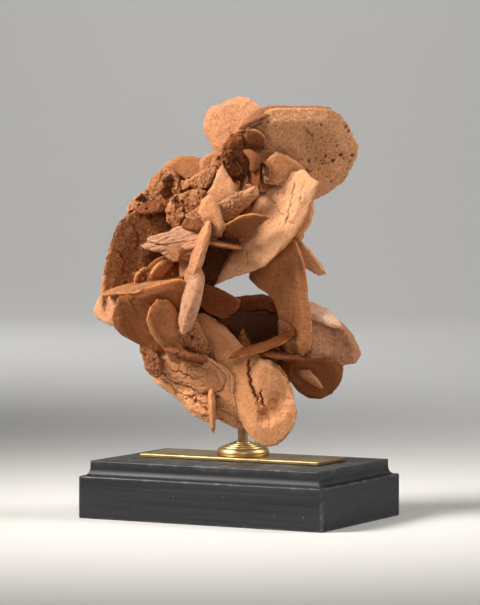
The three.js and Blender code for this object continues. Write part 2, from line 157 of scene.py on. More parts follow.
def centred(tree, value):
    """A 0 to 1 noise as -1 to 1."""
    return math_of(tree, "MULTIPLY_ADD", value, 2.0, -1.0)


# ---- the weathering of a blade ----
WEATHERING = "blade_weathering"
CRUST = "crystal_crust"
HEIGHTS = ("Undulation", "Lumps", "Grain", "Terraces", "Pits", "Streaks", "Edge Chips")
# scale of each pattern of the weathering, about its repeats per metre
WAVE, LUMP, GRAIN, LAYERS, STREAK = 34.0, 130.0, 480.0, 46.0, 330.0
PIT, PIT_BEND, PIT_PATCH, RIM_SHAKE, RIM_BITE = 150.0, 220.0, 60.0, 190.0, 240.0
LAYER_COUNT = 9.0
# distances in metres over which a mark fades in
SEAM_GAP, NOOK_SHADE_GAP = (0.0011, 0.0006), (0.006, 0.0008)
RIM_BULGE, SINKING = (0.00011, 0.00022), (-0.00016, 0.00022)
SEAM_SWELL, RIM_THINNING, PIT_WANDER = 0.0007, 0.00045, 0.004
BLADE_ROUNDING, CRISP_ROUNDING = 3, 1  # times that a blade's shape is blurred


def stored(tree, geometry, name, value):
    """Keeps a value on the points under a name and hands back the geometry and the value as read again."""
    node = put(tree, "GeometryNodeStoreNamedAttribute",
               {"Geometry": geometry, "Name": name, "Value": value}, data_type="FLOAT")
    again = put(tree, "GeometryNodeInputNamedAttribute", {"Name": name}, data_type="FLOAT")
    return out(node), out(again)


def blurred(tree, value, times, kind="FLOAT", weight=1.0):
    return out(put(tree, "GeometryNodeBlurAttribute", [value, times, weight], data_type=kind))


def new_tree(name, kinds):
    """An empty Geometry Nodes tree with these inputs, and the sockets that hand them in."""
    tree = bpy.data.node_groups.new(name, "GeometryNodeTree")
    for socket, kind in kinds.items():
        tree.interface.new_socket(socket, in_out="INPUT", socket_type="NodeSocket" + kind)
    tree.interface.new_socket("Geometry", in_out="OUTPUT", socket_type="NodeSocketGeometry")
    return tree, {socket.name: socket for socket in tree.nodes.new("NodeGroupInput").outputs}


def end_tree(tree, shape, material):
    shape = out(put(tree, "GeometryNodeRealizeInstances", {"Geometry": shape}))
    shape = out(put(tree, "GeometryNodeSetMaterial", {"Geometry": shape, "Material": material}))
    tree.links.new(shape, tree.nodes.new("NodeGroupOutput").inputs[0])


def weathering_tree():
    """Geometry Nodes: rounds a remeshed blade, roughens its faces, pits it and chips its rim."""
    tree, given = new_tree(WEATHERING, {
        "Geometry": "Geometry", "Neighbours": "Object", "Rounding": "Int", "Material": "Material",
        "Seed": "Float", "Streak Axis": "Vector", "Tint": "Float", "Bloom": "Float", "Glow": "Float",
        "Rim Thinning": "Float", **{name: "Float" for name in HEIGHTS}})
    place = out(put(tree, "GeometryNodeInputPosition"))
    normal = out(put(tree, "GeometryNodeInputNormal"))

    # how near the other blades are: the seam is where this one was cut back from another
    others = out(put(tree, "GeometryNodeObjectInfo", {"Object": given["Neighbours"]}), "Geometry")
    near = put(tree, "GeometryNodeProximity", {"Geometry": others, "Sample Position": place},
               target_element="FACES")
    gap = out(near, "Distance")
    shape, _ = stored(tree, given["Geometry"], "tint", given["Tint"])
    # bloom: a whitish bloom above zero, painted shade below zero
    shape, _ = stored(tree, shape, "bloom", given["Bloom"])
    shape, seam = stored(tree, shape, "seam", ramped(tree, gap, *SEAM_GAP))
    # nook: painted shade where another blade comes near
    shape, _ = stored(tree, shape, "nook", blurred(tree, ramped(tree, gap, *NOOK_SHADE_GAP), 4))

    # the rim is where the surface stands out sharply from its own blurred shape
    shrunk = blurred(tree, place, 6, "FLOAT_VECTOR")
    bulge = dotted(tree, less(tree, place, shrunk), normal)
    open_edge = times(tree, ramped(tree, bulge, *RIM_BULGE), opposite(tree, seam))
    shape, rim = stored(tree, shape, "rim", blurred(tree, open_edge, 1))
    # painted glow of light through the thin rim
    shape, _ = stored(tree, shape, "glow", times(tree, open_edge, given["Glow"]))

    # facets rounded off, but not at the rim or where two blades meet
    wide_rim = blurred(tree, times(tree, rim, 1.6, clamp=True), 2)
    loose = times(tree, opposite(tree, times(tree, wide_rim, 0.9, clamp=True)), opposite(tree, seam))
    rounded = blurred(tree, place, given["Rounding"], "FLOAT_VECTOR", loose)
    shape = out(put(tree, "GeometryNodeSetPosition", {"Geometry": shape, "Position": rounded}))

    # relief along the normal: waves, lumps, grain, broken layers, pits and streaks
    seed = given["Seed"]
    wave = centred(tree, noise_of(tree, place, WAVE, 1.0, seed))
    lump = centred(tree, noise_of(tree, place, LUMP, 3.0, seed, 0.65))
    grain = centred(tree, noise_of(tree, place, GRAIN, 2.0, seed, 0.7))
    level = times(tree, noise_of(tree, place, LAYERS, 2.0, seed, 0.55), LAYER_COUNT)
    step = ramped(tree, math_of(tree, "FRACT", level), 0.0, 0.18)
    stairs = math_of(tree, "ADD", math_of(tree, "FLOOR", level), step)
    terrace = math_of(tree, "SUBTRACT", stairs, LAYER_COUNT / 2)
    wander = scaled(tree, noise_of(tree, place, PIT_BEND, 2.0, seed, 0.6, "Color"), PIT_WANDER)
    cells = put(tree, "ShaderNodeTexVoronoi",
                {"Vector": added(tree, place, wander), "W": seed, "Scale": PIT}, voronoi_dimensions="4D")
    patch = ramped(tree, noise_of(tree, place, PIT_PATCH, 1.0, seed), 0.46, 0.56)
    hollow = times(tree, ramped(tree, out(cells, "Distance"), 0.42, 0.12), patch)
    axis = given["Streak Axis"]
    squeezed = added(tree, place, scaled(tree, axis, times(tree, dotted(tree, place, axis), -0.88)))
    streak = centred(tree, noise_of(tree, squeezed, STREAK, 2.0, seed, 0.6))
    relief = times(tree, wave, given["Undulation"])
    for height, value in (("Lumps", lump), ("Grain", grain), ("Terraces", terrace), ("Streaks", streak)):
        relief = math_of(tree, "MULTIPLY_ADD", value, given[height], relief)
    relief = math_of(tree, "SUBTRACT", relief, times(tree, hollow, given["Pits"]))
    calm = opposite(tree, times(tree, wide_rim, 0.75, clamp=True))
    relief = times(tree, relief, calm)
    relief = math_of(tree, "MULTIPLY_ADD", seam, SEAM_SWELL, relief)
    relief = math_of(tree, "SUBTRACT", relief, times(tree, wide_rim, given["Rim Thinning"]))
    shake = less(tree, noise_of(tree, place, RIM_SHAKE, 3.0, seed, 0.65, "Color"), (0.5, 0.5, 0.5))
    chipped = times(tree, times(tree, given["Edge Chips"], 1.6), wide_rim)
    bite = ramped(tree, noise_of(tree, place, RIM_BITE, 2.0, seed, 0.6), 0.52, 0.6)
    bite = times(tree, times(tree, bite, given["Edge Chips"]), wide_rim)
    relief = math_of(tree, "SUBTRACT", relief, bite)
    shift = added(tree, scaled(tree, normal, relief), scaled(tree, shake, chipped))
    shape = out(put(tree, "GeometryNodeSetPosition", {"Geometry": shape, "Offset": shift}))

    # how deep each point lies in the finished relief, for the painted shade in its hollows and the paler
    # colour on its raised points
    sunk = blurred(tree, place, 5, "FLOAT_VECTOR")
    depth = dotted(tree, less(tree, sunk, place), normal)
    shape, _ = stored(tree, shape, "deep", ramped(tree, depth, *SINKING))
    shape = out(put(tree, "GeometryNodeSetShadeSmooth", {"Geometry": shape, "Shade Smooth": True}))
    end_tree(tree, shape, given["Material"])


def crust_tree():
    """Geometry Nodes: small faceted crystals grown at random all over a blade."""
    tree, given = new_tree(CRUST, {"Geometry": "Geometry", "Crystals per m2": "Float",
                                   "Crystal Size": "Float", "Crust Seed": "Int", "Material": "Material"})
    spread = put(tree, "GeometryNodeDistributePointsOnFaces",
                 {"Mesh": given["Geometry"], "Density": given["Crystals per m2"],
                  "Seed": given["Crust Seed"]})
    seed_ball = out(put(tree, "GeometryNodeMeshIcoSphere", {"Radius": 1.0, "Subdivisions": 1}), "Mesh")
    chip = out(put(tree, "GeometryNodeTransform", {"Geometry": seed_ball, "Scale": (1.0, 0.75, 0.34)}))
    turn = put(tree, "FunctionNodeRandomValue", {"Min": (0.0,) * 3, "Max": (6.28,) * 3},
               data_type="FLOAT_VECTOR")
    size = put(tree, "FunctionNodeRandomValue", {"Min": 0.35, "Max": 1.0}, data_type="FLOAT")
    grown = put(tree, "GeometryNodeInstanceOnPoints",
                {"Points": out(spread, "Points"), "Instance": chip, "Rotation": out(turn, "Value"),
                 "Scale": times(tree, out(size, "Value"), given["Crystal Size"])})
    joined = put(tree, "GeometryNodeJoinGeometry")
    tree.links.new(given["Geometry"], joined.inputs[0])
    tree.links.new(out(grown), joined.inputs[0])
    end_tree(tree, out(joined), given["Material"])


def tree_called(name):
    """A node tree of this script, built the first time it is asked for."""
    if name not in bpy.data.node_groups:
        {WEATHERING: weathering_tree, CRUST: crust_tree}[name]()
    return bpy.data.node_groups[name]


def with_nodes(piece, tree, values):
    """Runs a Geometry Nodes tree on a piece and keeps the result as its plain mesh."""
    modifier = piece.modifiers.new("nodes", "NODES")
    modifier.node_group = tree
    for item in tree.interface.items_tree:
        if item.in_out == "INPUT" and item.name in values:
            modifier[item.identifier] = values[item.name]
    settle(piece)


def settle(piece):
    """Turns a piece with its modifiers into a plain mesh."""
    bpy.context.view_layer.update()
    evaluated = piece.evaluated_get(bpy.context.evaluated_depsgraph_get())
    mesh = bpy.data.meshes.new_from_object(evaluated)
    piece.modifiers.clear()
    old = piece.data
    piece.data = mesh
    mesh.name = piece.name
    bpy.data.meshes.remove(old)


def mesh_from(made, name):
    """A mesh of what bmesh has made, which is let go of."""
    mesh = bpy.data.meshes.new(name)
    made.to_mesh(mesh)
    made.free()
    return mesh


def skin(made, rings):
    """Faces from each ring of points to the next; a ring may be one point on the axis."""
    for a, b in zip(rings, rings[1:]):
        sides = max(len(a), len(b))
        for i in range(sides):
            j = (i + 1) % sides
            corners = (a[i % len(a)], a[j % len(a)], b[j % len(b)], b[i % len(b)])
            made.faces.new(list(dict.fromkeys(corners)))


def new_piece(name, mesh):
    piece = bpy.data.objects.new(name, mesh)
    bpy.context.scene.collection.objects.link(piece)
    return piece


def finished(piece, slot, *replaced):
    """Puts a piece under the body it moves with and hides the nodes it stands for; the slot is not used."""
    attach(piece, BODY)
    if replaced:
        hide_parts(*replaced)
    return piece


def merged_copy(nodes, swell):
    """The meshes of one or more nodes with their triangles joined, grown a little along their normals."""
    mesh = NODES[nodes[0]].data.copy()
    mesh.materials.clear()
    made = bmesh.new()
    for node in nodes:
        made.from_mesh(NODES[node].data)
    bmesh.ops.remove_doubles(made, verts=made.verts, dist=2e-6)
    made.normal_update()
    for vertex, place in [(v, v.co + v.normal * swell) for v in made.verts]:
        vertex.co = place
    made.to_mesh(mesh)
    made.free()
    return mesh


def weathered(piece, neighbours, slot, heights, seed, crust=None, crisp=False):
    """Grows a crust on a blade where it has one, remeshes it finely and weathers it."""
    if crust:
        per_area, size = crust
        with_nodes(piece, tree_called(CRUST), {"Crystals per m2": per_area, "Crystal Size": size * MM,
                                               "Crust Seed": int(seed * 100), "Material": gypsum(slot)})
    remesh = piece.modifiers.new("voxels", "REMESH")
    remesh.mode = "VOXEL"
    remesh.voxel_size = bpy.context.scene.sand_rose.voxel
    remesh.use_smooth_shade = True
    settle(piece)
    with_nodes(piece, tree_called(WEATHERING), {
        "Neighbours": neighbours, "Material": gypsum(slot), "Seed": seed, "Rim Thinning": RIM_THINNING,
        "Rounding": CRISP_ROUNDING if crisp else BLADE_ROUNDING, **heights})


def relief(undulation, lumps, grain, terraces, pits, streaks, chips):
    """Heights of the weathering, in millimetres, by the name of their input."""
    return {name: height * MM for name, height in
            zip(HEIGHTS, (undulation, lumps, grain, terraces, pits, streaks, chips))}


SMOOTH_RELIEF = relief(1.9, 0.55, 0.30, 0.05, 0.0, 0.0, 0.9)
ROUGH_RELIEF = relief(1.5, 2.1, 0.90, 0.15, 1.8, 0.0, 1.8)
LAYERED_RELIEF = relief(1.2, 0.6, 0.40, 0.45, 0.3, 0.0, 1.3)
SHALE_RELIEF = relief(1.6, 0.7, 0.35, 0.22, 0.2, 0.0, 1.3)
PITTED_RELIEF = relief(1.2, 0.8, 0.55, 0.25, 1.5, 0.0, 1.3)
STREAKED_RELIEF = relief(1.0, 0.4, 0.30, 0.10, 0.0, 0.6, 1.0)
FIBROUS_RELIEF = relief(0.8, 0.3, 0.30, 0.0, 0.0, 1.9, 1.2)
RELIEF_OF = {"bottom_plate": LAYERED_RELIEF, "bottom_sheet": LAYERED_RELIEF, "left_shelf": LAYERED_RELIEF,
             "crown_plate": PITTED_RELIEF, "left_plate": PITTED_RELIEF, "flaky_shelf": STREAKED_RELIEF,
             "main_plate": STREAKED_RELIEF, "crown_left": SHALE_RELIEF}
# crystals of the crust per square metre, and the size of the largest in millimetres
CRUST_OF = {"spine_upper": (60000, 3.6), "spine_middle": (50000, 4.2), "spine_lower": (50000, 4.2),
            "shoulder_slope": (30000, 4.0), "shoulder_step": (25000, 3.6), "shoulder_lobe": (4000, 2.0),
            "left_plate": (12000, 2.2), "rough_leaf": (40000, 2.0), "rough_web": (60000, 2.6),
            "crown_plate": (2500, 1.8), "recess_wall": (20000, 3.0), "inner_floor": (25000, 3.0),
            "bottom_plate": (3500, 1.6), "nest_middle": (12000, 2.0), "spine_knob": (60000, 3.2),
            "flap_chip": (30000, 2.0), "nest_left": (50000, 2.4), "nest_right": (50000, 2.4),
            "under_shelf": (40000, 2.2), "lip_ledge": (30000, 2.0), "notch_ledge": (40000, 2.4),
            "core_upper": (30000, 4.0), "core_lower": (30000, 4.0)}
# how pale (above zero) or dark (below) a crystal is painted, partly for its own stain and partly as painted
# light and painted shade for how the light falls on it; one that is in no list is plain, at zero
STAIN_AND_LIGHT_LEVELS = {"cream": 1.0, "pale": 0.45, "ochre": -0.35, "russet": -0.7, "iron": -1.0}
STAIN_AND_PAINTED_LIGHT = {
    "cream": ("main_plate", "crown_plate", "bottom_plate", "bottom_sheet", "lobe_facet", "right_finger",
              "fin_sliver", "plate_back_edge", "rough_leaf"),
    "pale": ("tongue", "leaf_upper", "leaf_lower", "far_corner", "flaky_sheet_top", "flaky_sheet_second",
             "flaky_sheet_third", "flaky_sheet_low"),
    "ochre": ("shoulder_lobe", "left_shelf", "crown_cap", "right_lobe", "right_wall", "lower_leaf", "spear",
              "flap_chip", "ear", "niche_sliver_right", "back_low_right"),
    "russet": ("lower_flap", "hooded_leaf", "lower_lobe", "nest_left", "nest_right", "nest_back",
               "notch_ledge", "small_shelf", "spine_upper", "spine_flake", "under_shelf", "under_shelf_low",
               "crown_leaf", "crown_crescent", "left_face", "flaky_shelf", "core_lower"),
    "iron": ("inner_floor", "inner_left", "inner_back", "recess_wall", "niche_blade", "niche_sliver",
             "mouth_lip", "lip_ledge", "gap_blade"),
}
# share of a whitish bloom on a blade, and below zero the share of a near-black painted shade on the ones deep
# inside
BLOOM_AND_PAINTED_SHADE = {"inner_floor": -0.8, "recess_wall": -0.6, "inner_back": -0.2, "niche_blade": -0.7,
         "inner_left": -0.1, "gap_blade": -0.7, "lip_ledge": -0.15, "mouth_lip": -0.1, "crown_leaf": -0.15,
         "lower_lobe": -0.1, "lobe_facet": 1.0, "spear": 0.35, "flaky_shelf": 0.1, "flaky_sheet_top": 0.3,
         "flaky_sheet_second": 0.2, "flaky_sheet_third": 0.2, "right_finger": 0.3, "lower_leaf": 0.15,
         "shoulder_step": 0.1, "spear_fin": 0.1, "right_lobe": 0.25, "main_plate": 0.2, "crown_left": 0.1,
         "far_corner": 0.2, "leaf_upper": 0.1, "crown_plate": 0.05}
# how strongly a blade's thin rim shows the painted orange glow of light through it; the others have a faint
# one
FAINT_PAINTED_RIM_GLOW = 0.35
PAINTED_RIM_GLOW = {"inner_floor": 0.0, "recess_wall": 0.0, "inner_back": 0.0,
        "ear": 1.0, "lower_flap": 1.0, "hooded_leaf": 1.0, "left_plate": 0.8, "right_wall": 0.9,
        "nest_left": 1.0, "nest_middle": 1.0, "nest_right": 1.0, "lower_lobe": 0.7, "niche_leaf": 0.6,
        "left_shelf": 0.9, "crown_crescent": 1.0, "crown_leaf": 0.9, "plate_back_edge": 0.8,
        "left_face": 0.8, "spike": 0.8, "leaf_upper": 0.6, "main_plate": 0.4, "mouth_lip": 0.5}
STREAK_AXIS = {"main_plate": (0.62, 0.3, 0.72), "flaky_shelf": (0.8, 0.42, 0.42)}
# cracks and hollows, with painted shade in them: half width, depth and the line they follow in the rose's own
# front elevation, in mm
CARVED = {
    "tongue": ((1.2, 4.0, ((7, 116), (6.8, 107), (8.5, 99), (11.5, 92), (13, 88))),
               (0.8, 3.0, ((15.5, 95), (16.5, 88), (18, 83)))),
    "bottom_plate": ((0.68, 1.4, ((-66, 112), (-58, 106), (-51, 105), (-44, 103), (-35, 99), (-27, 93),
                                  (-22, 91))),
                     (0.68, 1.4, ((-39, 87), (-32, 91), (-31.5, 86), (-23, 83.5), (-15, 81), (-5, 76))),
                     (0.68, 1.2, ((-56, 101), (-51, 98), (-45, 91), (-35, 88.5), (-30, 84), (-20, 77))),
                     (0.52, 0.9, ((-28, 76), (-20, 73), (-12, 73))),
                     (0.52, 0.9, ((-61, 112), (-56, 116), (-50, 114)))),
    "bottom_sheet": ((0.68, 1.4, ((-50, 108), (-42, 107), (-35, 103), (-27, 101))),
                     (0.68, 1.2, ((-21, 91), (-15, 92), (-13.5, 97), (-16, 102))),
                     (0.52, 0.9, ((-36, 114), (-28, 111), (-20, 108)))),
    "main_plate": ((0.60, 1.0, ((40.3, 245), (36, 226.5), (34, 216))),
                   (0.52, 0.8, ((34, 220), (39.5, 215))), (0.52, 0.8, ((24.5, 231.5), (32, 221))),
                   (0.45, 0.7, ((30, 243), (27, 236))), (0.45, 0.7, ((46, 243), (44, 236), (45, 230))),
                   (0.45, 0.6, ((2, 200), (6, 190), (5, 184))),
                   (0.45, 0.6, ((14, 200), (20, 194)))),
    "crown_plate": ((0.63, 1.0, ((24, 262), (31, 258), (36, 259))), (0.70, 1.1, ((48, 284), (54, 280))),
                    (0.56, 0.8, ((60, 262), (66, 259), (70, 262))), (0.84, 1.3, ((40, 248), (47, 245)))),
    "shoulder_slope": ((4.6, 6.5, ((-50.5, 246), (-52, 236))),),
    "spine_lower": ((3.0, 3.5, ((-48, 235), (-44, 228))), (1.6, 2.5, ((-41, 232), (-39, 222), (-43, 214)))),
    "spine_middle": ((2.6, 4.0, ((-41, 238), (-34, 240))), (1.8, 3.0, ((-28, 246), (-24, 240)))),
    "spine_upper": ((2.2, 4.0, ((-3, 262), (1, 254))),),
    "shoulder_step": ((3.2, 6.0, ((-72, 233), (-68, 231))), (1.6, 3.0, ((-80, 223), (-66, 226), (-56, 229)))),
    "shoulder_lobe": ((1.8, 3.0, ((-56, 247), (-46, 248), (-36, 246))),),
    "left_face": ((0.56, 1.0, ((-80, 160), (-74, 154), (-66, 152))), (0.48, 0.8, ((-76, 163), (-70, 158)))),
    "left_plate": ((0.96, 1.3, ((-78, 214), (-74, 205), (-76, 196))), (0.80, 1.0, ((-66, 222), (-64, 213))),
                   (0.80, 1.0, ((-90, 196), (-84, 188), (-86, 178)))),
    "inner_back": ((1.2, 2.5, ((-4, 151), (6, 149), (16, 151), (26, 148))),),
    "right_wall": ((0.6, 0.8, ((40, 150), (38, 138), (41, 128))),),
}
# dents in the same form, which get no painted shade
PRESSED = {"tongue": ((7.0, 3.4, ((31, 112), (32, 100), (31, 90), (27, 80), (20, 76))),
                      (4.0, 2.2, ((16, 84), (22, 76)))),
           "right_wall": ((9.0, 3.5, ((29, 180), (39, 161), (41, 137))),),
           "lower_flap": ((8.0, 2.8, ((-81, 151), (-68, 129))),),
           "ear": ((6.5, 2.6, ((-58, 147), (-49, 129))),),
           "mouth_lip": ((5.0, 2.2, ((2, 125), (34, 134))),),
           "lower_lobe": ((10.0, 3.0, ((53, 109), (63, 97))),),
           "inner_left": ((6.0, 2.2, ((-20, 165), (-8, 158))),),
           "right_lobe": ((10.0, 2.5, ((61, 136), (73, 124))),),
           "left_plate": ((14.0, 4.0, ((-78, 209), (-86, 182))),),
           "main_plate": ((9.0, 2.5, ((8, 210), (18, 196))), (6.0, 2.0, ((34, 236), (26, 222)))),
           "hooded_leaf": ((5.0, 2.0, ((-3, 213), (12, 216))),),
           "crown_plate": ((12.0, 3.0, ((10, 272), (14, 256))), (10.0, 2.0, ((52, 274), (60, 262)))),
           "bottom_plate": ((8.0, 1.8, ((-40, 98), (-24, 88))),)}


def carve(piece, marks, stain=1.0):
    """Presses cracks and hollows into the front of a finished blade and paints shade into them, as much as
    stain says.
    """
    mesh = piece.data
    count = len(mesh.vertices)
    place, normal = np.empty(count * 3), np.empty(count * 3)
    mesh.vertices.foreach_get("co", place)
    mesh.vertex_normals.foreach_get("vector", normal)
    deep = np.empty(count)
    mesh.attributes["deep"].data.foreach_get("value", deep)
    c, s = math.cos(ROSE_TURN), math.sin(ROSE_TURN)
    turn = np.array(((c, -s, 0.0), (s, c, 0.0), (0.0, 0.0, 1.0)))
    own = place.reshape(-1, 3) @ turn / MM
    front = np.clip(-(normal.reshape(-1, 3) @ turn)[:, 1] * 3.0 - 0.2, 0.0, 1.0)
    spot = own[:, (0, 2)]
    spot = spot + 0.5 * np.sin(spot[:, ::-1] * 0.9) + 0.3 * np.sin(spot[:, ::-1] * 2.3 + 1.0)
    for half, depth, line in marks:
        nearest = np.full(count, 1e9)
        for a, b in zip(np.array(line[:-1], float), np.array(line[1:], float)):
            along = np.clip(((spot - a) @ (b - a)) / ((b - a) @ (b - a)), 0.0, 1.0)
            nearest = np.minimum(nearest, np.linalg.norm(spot - a - along[:, None] * (b - a), axis=1))
        share = np.clip(1.25 - nearest / half, 0.0, 1.0)
        share = share * share * (3.0 - 2.0 * share) * front
        own[:, 1] += depth * share
        # the crack's share of painted shade, kept in the deep attribute
        deep = np.maximum(deep, share * stain)
    mesh.vertices.foreach_set("co", ((own * MM) @ turn.T).ravel())
    mesh.attributes["deep"].data.foreach_set("value", deep)
    mesh.update()


# ---- materials ----
def new_material(name):
    material = bpy.data.materials.new(name)
    material.use_nodes = True
    tree = material.node_tree
    shader = next(n for n in tree.nodes if n.type == "BSDF_PRINCIPLED")
    place = out(put(tree, "ShaderNodeTexCoord"), "Object")
    return material, tree, shader, place


def mixed(tree, share, a, b, blend="MIX"):
    """Colour a turned into b by share; a and b are colours or sockets."""
    return out(put(tree, "ShaderNodeMix", (share, a, b), data_type="RGBA", blend_type=blend,
                   clamp_factor=True))


def bumped(tree, height, strength, distance, base=None):
    inputs = {"Height": height, "Strength": strength, "Distance": distance}
    if base is not None:
        inputs["Normal"] = base
    return out(put(tree, "ShaderNodeBump", inputs))


def opaque(colour):
    return (*colour, 1.0)


def attribute(tree, name):
    return out(put(tree, "ShaderNodeAttribute", attribute_name=name), "Fac")


# scale of the stone's pale clouds, flecks and sand grains, and how dark the gaps between grains are
CLOUD, FLECK, SAND = 38.0, 260.0, 850.0
GRAIN_STOPS = (0.34, 0.62)
GRAIN_SHADE_ROUGH, GRAIN_SHADE_SMOOTH = (0.72, 0.66, 0.60), (0.74, 0.69, 0.63)


def gypsum(slot):
    """The sandy stone: mottled and stained, paler on what looks up with dust and painted top light, with
    painted shade in its hollows, cracks and between blades, and a painted orange glow where the rim is thin.
    """
    name = "weathered_" + slot
    if name in bpy.data.materials:
        return bpy.data.materials[name]
    looks = bpy.context.scene.sand_rose
    rough = slot == ROUGH_SLOT
    material, tree, shader, place = new_material(name)
    body = opaque(looks.rough_colour if rough else looks.smooth_colour)
    # the colour of the mottling, and of the painted shade in hollows, cracks and between blades
    mottle_and_shade = opaque(looks.mottle_and_shade_colour)
    cloud = noise_of(tree, place, CLOUD, 3.0, 1.0, 0.6)
    fleck = noise_of(tree, place, FLECK, 3.0, 2.0, 0.75)
    sand = noise_of(tree, place, SAND, 2.0, 3.0, 0.8)
    tint = attribute(tree, "tint")
    # crystals tinted darker get darker dust and top light, partly stain and partly painted shade
    stained = times(tree, tint, -1.3, clamp=True)
    dust = mixed(tree, stained, opaque(looks.dust_and_top_light_colour), opaque(looks.darkened_dust_and_top_light_colour))
    # paler towards cream and darker towards iron by the tint: partly the crystal's own stain, partly painted
    # light and painted shade
    colour = mixed(tree, tint, body, opaque(looks.cream_colour))
    colour = mixed(tree, times(tree, tint, -1.0), colour, opaque(looks.iron_stain_and_shade_colour))
    clean = math_of(tree, "MULTIPLY_ADD", math_of(tree, "MAXIMUM", tint, 0.0), -0.7, 1.0)
    clouded = times(tree, clean, ramped(tree, cloud, 0.42, 0.72, 0.0, 0.5 if rough else 0.3))
    colour = mixed(tree, clouded, colour, mottle_and_shade)
    colour = mixed(tree, ramped(tree, fleck, 0.52, 0.7, 0.0, 0.4), colour, dust)
    specked = times(tree, clean, ramped(tree, fleck, 0.46, 0.3, 0.0, 0.6 if rough else 0.4))
    colour = mixed(tree, specked, colour, mottle_and_shade)
    # paler on faces that look up: dust, and painted light from above
    up = out(put(tree, "ShaderNodeSeparateXYZ", [out(put(tree, "ShaderNodeNewGeometry"), "Normal")]), "Z")
    top_dust_and_light = times(tree, ramped(tree, up, 0.35, 0.95, 0.0, 0.5),
                      ramped(tree, cloud, 0.3, 0.65, 0.25, 1.0))
    colour = mixed(tree, top_dust_and_light, colour, dust)
    deep, bloom = attribute(tree, "deep"), attribute(tree, "bloom")
    # painted shade where other blades are near
    colour = mixed(tree, times(tree, attribute(tree, "nook"), 0.55), colour, mottle_and_shade)
    # painted shade in the hollows of the relief and in the cracks
    colour = mixed(tree, ramped(tree, deep, 0.5, 1.0, 0.0, 0.9), colour, mottle_and_shade)
    # paler towards the raised points of the relief
    colour = mixed(tree, ramped(tree, deep, 0.4, 0.0, 0.0, 0.35), colour, dust)
    bloomed = times(tree, bloom, ramped(tree, fleck, 0.38, 0.56, 0.35, 1.0))
    colour = mixed(tree, bloomed, colour, opaque(looks.bloom_colour))
    # below zero the bloom paints near-black shade on the crystals deep inside
    colour = mixed(tree, times(tree, bloom, -1.0), colour, opaque(looks.painted_hollow_shade_colour))
    # painted orange glow of light through the thin rims
    edge = times(tree, attribute(tree, "glow"), ramped(tree, fleck, 0.3, 0.55, 0.6, 1.0))
    colour = mixed(tree, edge, colour, opaque(looks.painted_rim_glow_colour))
    grains = put(tree, "ShaderNodeValToRGB", [sand])
    for stop, at, shown in zip(grains.color_ramp.elements, GRAIN_STOPS,
                               (GRAIN_SHADE_ROUGH if rough else GRAIN_SHADE_SMOOTH, (1.0, 1.0, 1.0))):
        stop.position, stop.color = at, opaque(shown)
    colour = mixed(tree, 1.0, colour, out(grains), "MULTIPLY")
    coarse = bumped(tree, fleck, 0.8 if rough else 0.3, 0.003)
    fill(tree, shader, {"Base Color": colour, "Roughness": ramped(tree, sand, 0.2, 0.8, 0.82, 0.96),
                        "Specular IOR Level": 0.25,
                        "Normal": bumped(tree, sand, 0.7 if rough else 0.3, 0.0012, coarse)})
    return material


def black_wood():
    """Black-stained wood with a faint grain, dust specks and worn edges."""
    looks = bpy.context.scene.sand_rose_stand
    material, tree, shader, place = new_material("stained_wood")
    along = put(tree, "ShaderNodeMapping", {"Vector": place, "Scale": (6.0, 60.0, 260.0)})
    figure = noise_of(tree, out(along), 1.0, 4.0, 1.0, 0.6)
    fine = put(tree, "ShaderNodeMapping", {"Vector": place, "Scale": (30.0, 400.0, 1400.0)})
    pore = noise_of(tree, out(fine), 1.0, 2.0, 2.0, 0.6)
    dust = noise_of(tree, place, 520.0, 2.0, 3.0, 0.6)
    colour = mixed(tree, ramped(tree, figure, 0.35, 0.7), opaque(looks.wood_colour),
                   opaque(looks.grain_colour))
    colour = mixed(tree, ramped(tree, dust, 0.68, 0.76, 0.0, 0.6), colour, opaque(looks.wear_colour))
    scuff = times(tree, attribute(tree, "wear"),
                    ramped(tree, noise_of(tree, place, 90.0, 4.0, 4.0, 0.7), 0.45, 0.7, 0.1, 0.9))
    colour = mixed(tree, scuff, colour, opaque(looks.wear_colour))
    broad = bumped(tree, figure, 0.12, 0.0006)
    fill(tree, shader, {"Base Color": colour, "Roughness": ramped(tree, figure, 0.3, 0.7, 0.42, 0.58),
                        "Specular IOR Level": 0.45, "Normal": bumped(tree, pore, 0.12, 0.0003, broad)})
    return material


def brass(name, stretch, strength):
    """Satin brass. Its tool marks run as stretch says, or round the collar's axis where that is None."""
    looks = bpy.context.scene.sand_rose_stand
    material, tree, shader, place = new_material(name)
    if stretch is None:
        x, y, z = (out(put(tree, "ShaderNodeSeparateXYZ", [place]), axis) for axis in "XYZ")
        centre = out(put(tree, "ShaderNodeCombineXYZ", [x, math_of(tree, "SUBTRACT", y, FITTING_Y), 0.0]))
        radius = out(put(tree, "ShaderNodeVectorMath", [centre], operation="LENGTH"), "Value")
        marks = noise_of(tree, out(put(tree, "ShaderNodeCombineXYZ", [radius, z, 0.0])), 2600.0, 2.0, 1.0)
    else:
        lines = put(tree, "ShaderNodeMapping", {"Vector": place, "Scale": stretch})
        marks = noise_of(tree, out(lines), 1.0, 3.0, 1.0)
    tarnish = noise_of(tree, place, 70.0, 3.0, 2.0, 0.6)
    colour = mixed(tree, ramped(tree, tarnish, 0.4, 0.75, 0.0, 0.7), opaque(looks.brass_colour),
                   opaque(looks.tarnish_colour))
    rough = math_of(tree, "MULTIPLY_ADD", marks, 0.14, 0.33)
    fill(tree, shader, {"Base Color": colour, "Metallic": 1.0,
                        "Roughness": math_of(tree, "MULTIPLY_ADD", tarnish, 0.1, rough),
                        "Normal": bumped(tree, marks, strength, 0.0002)})
    return material


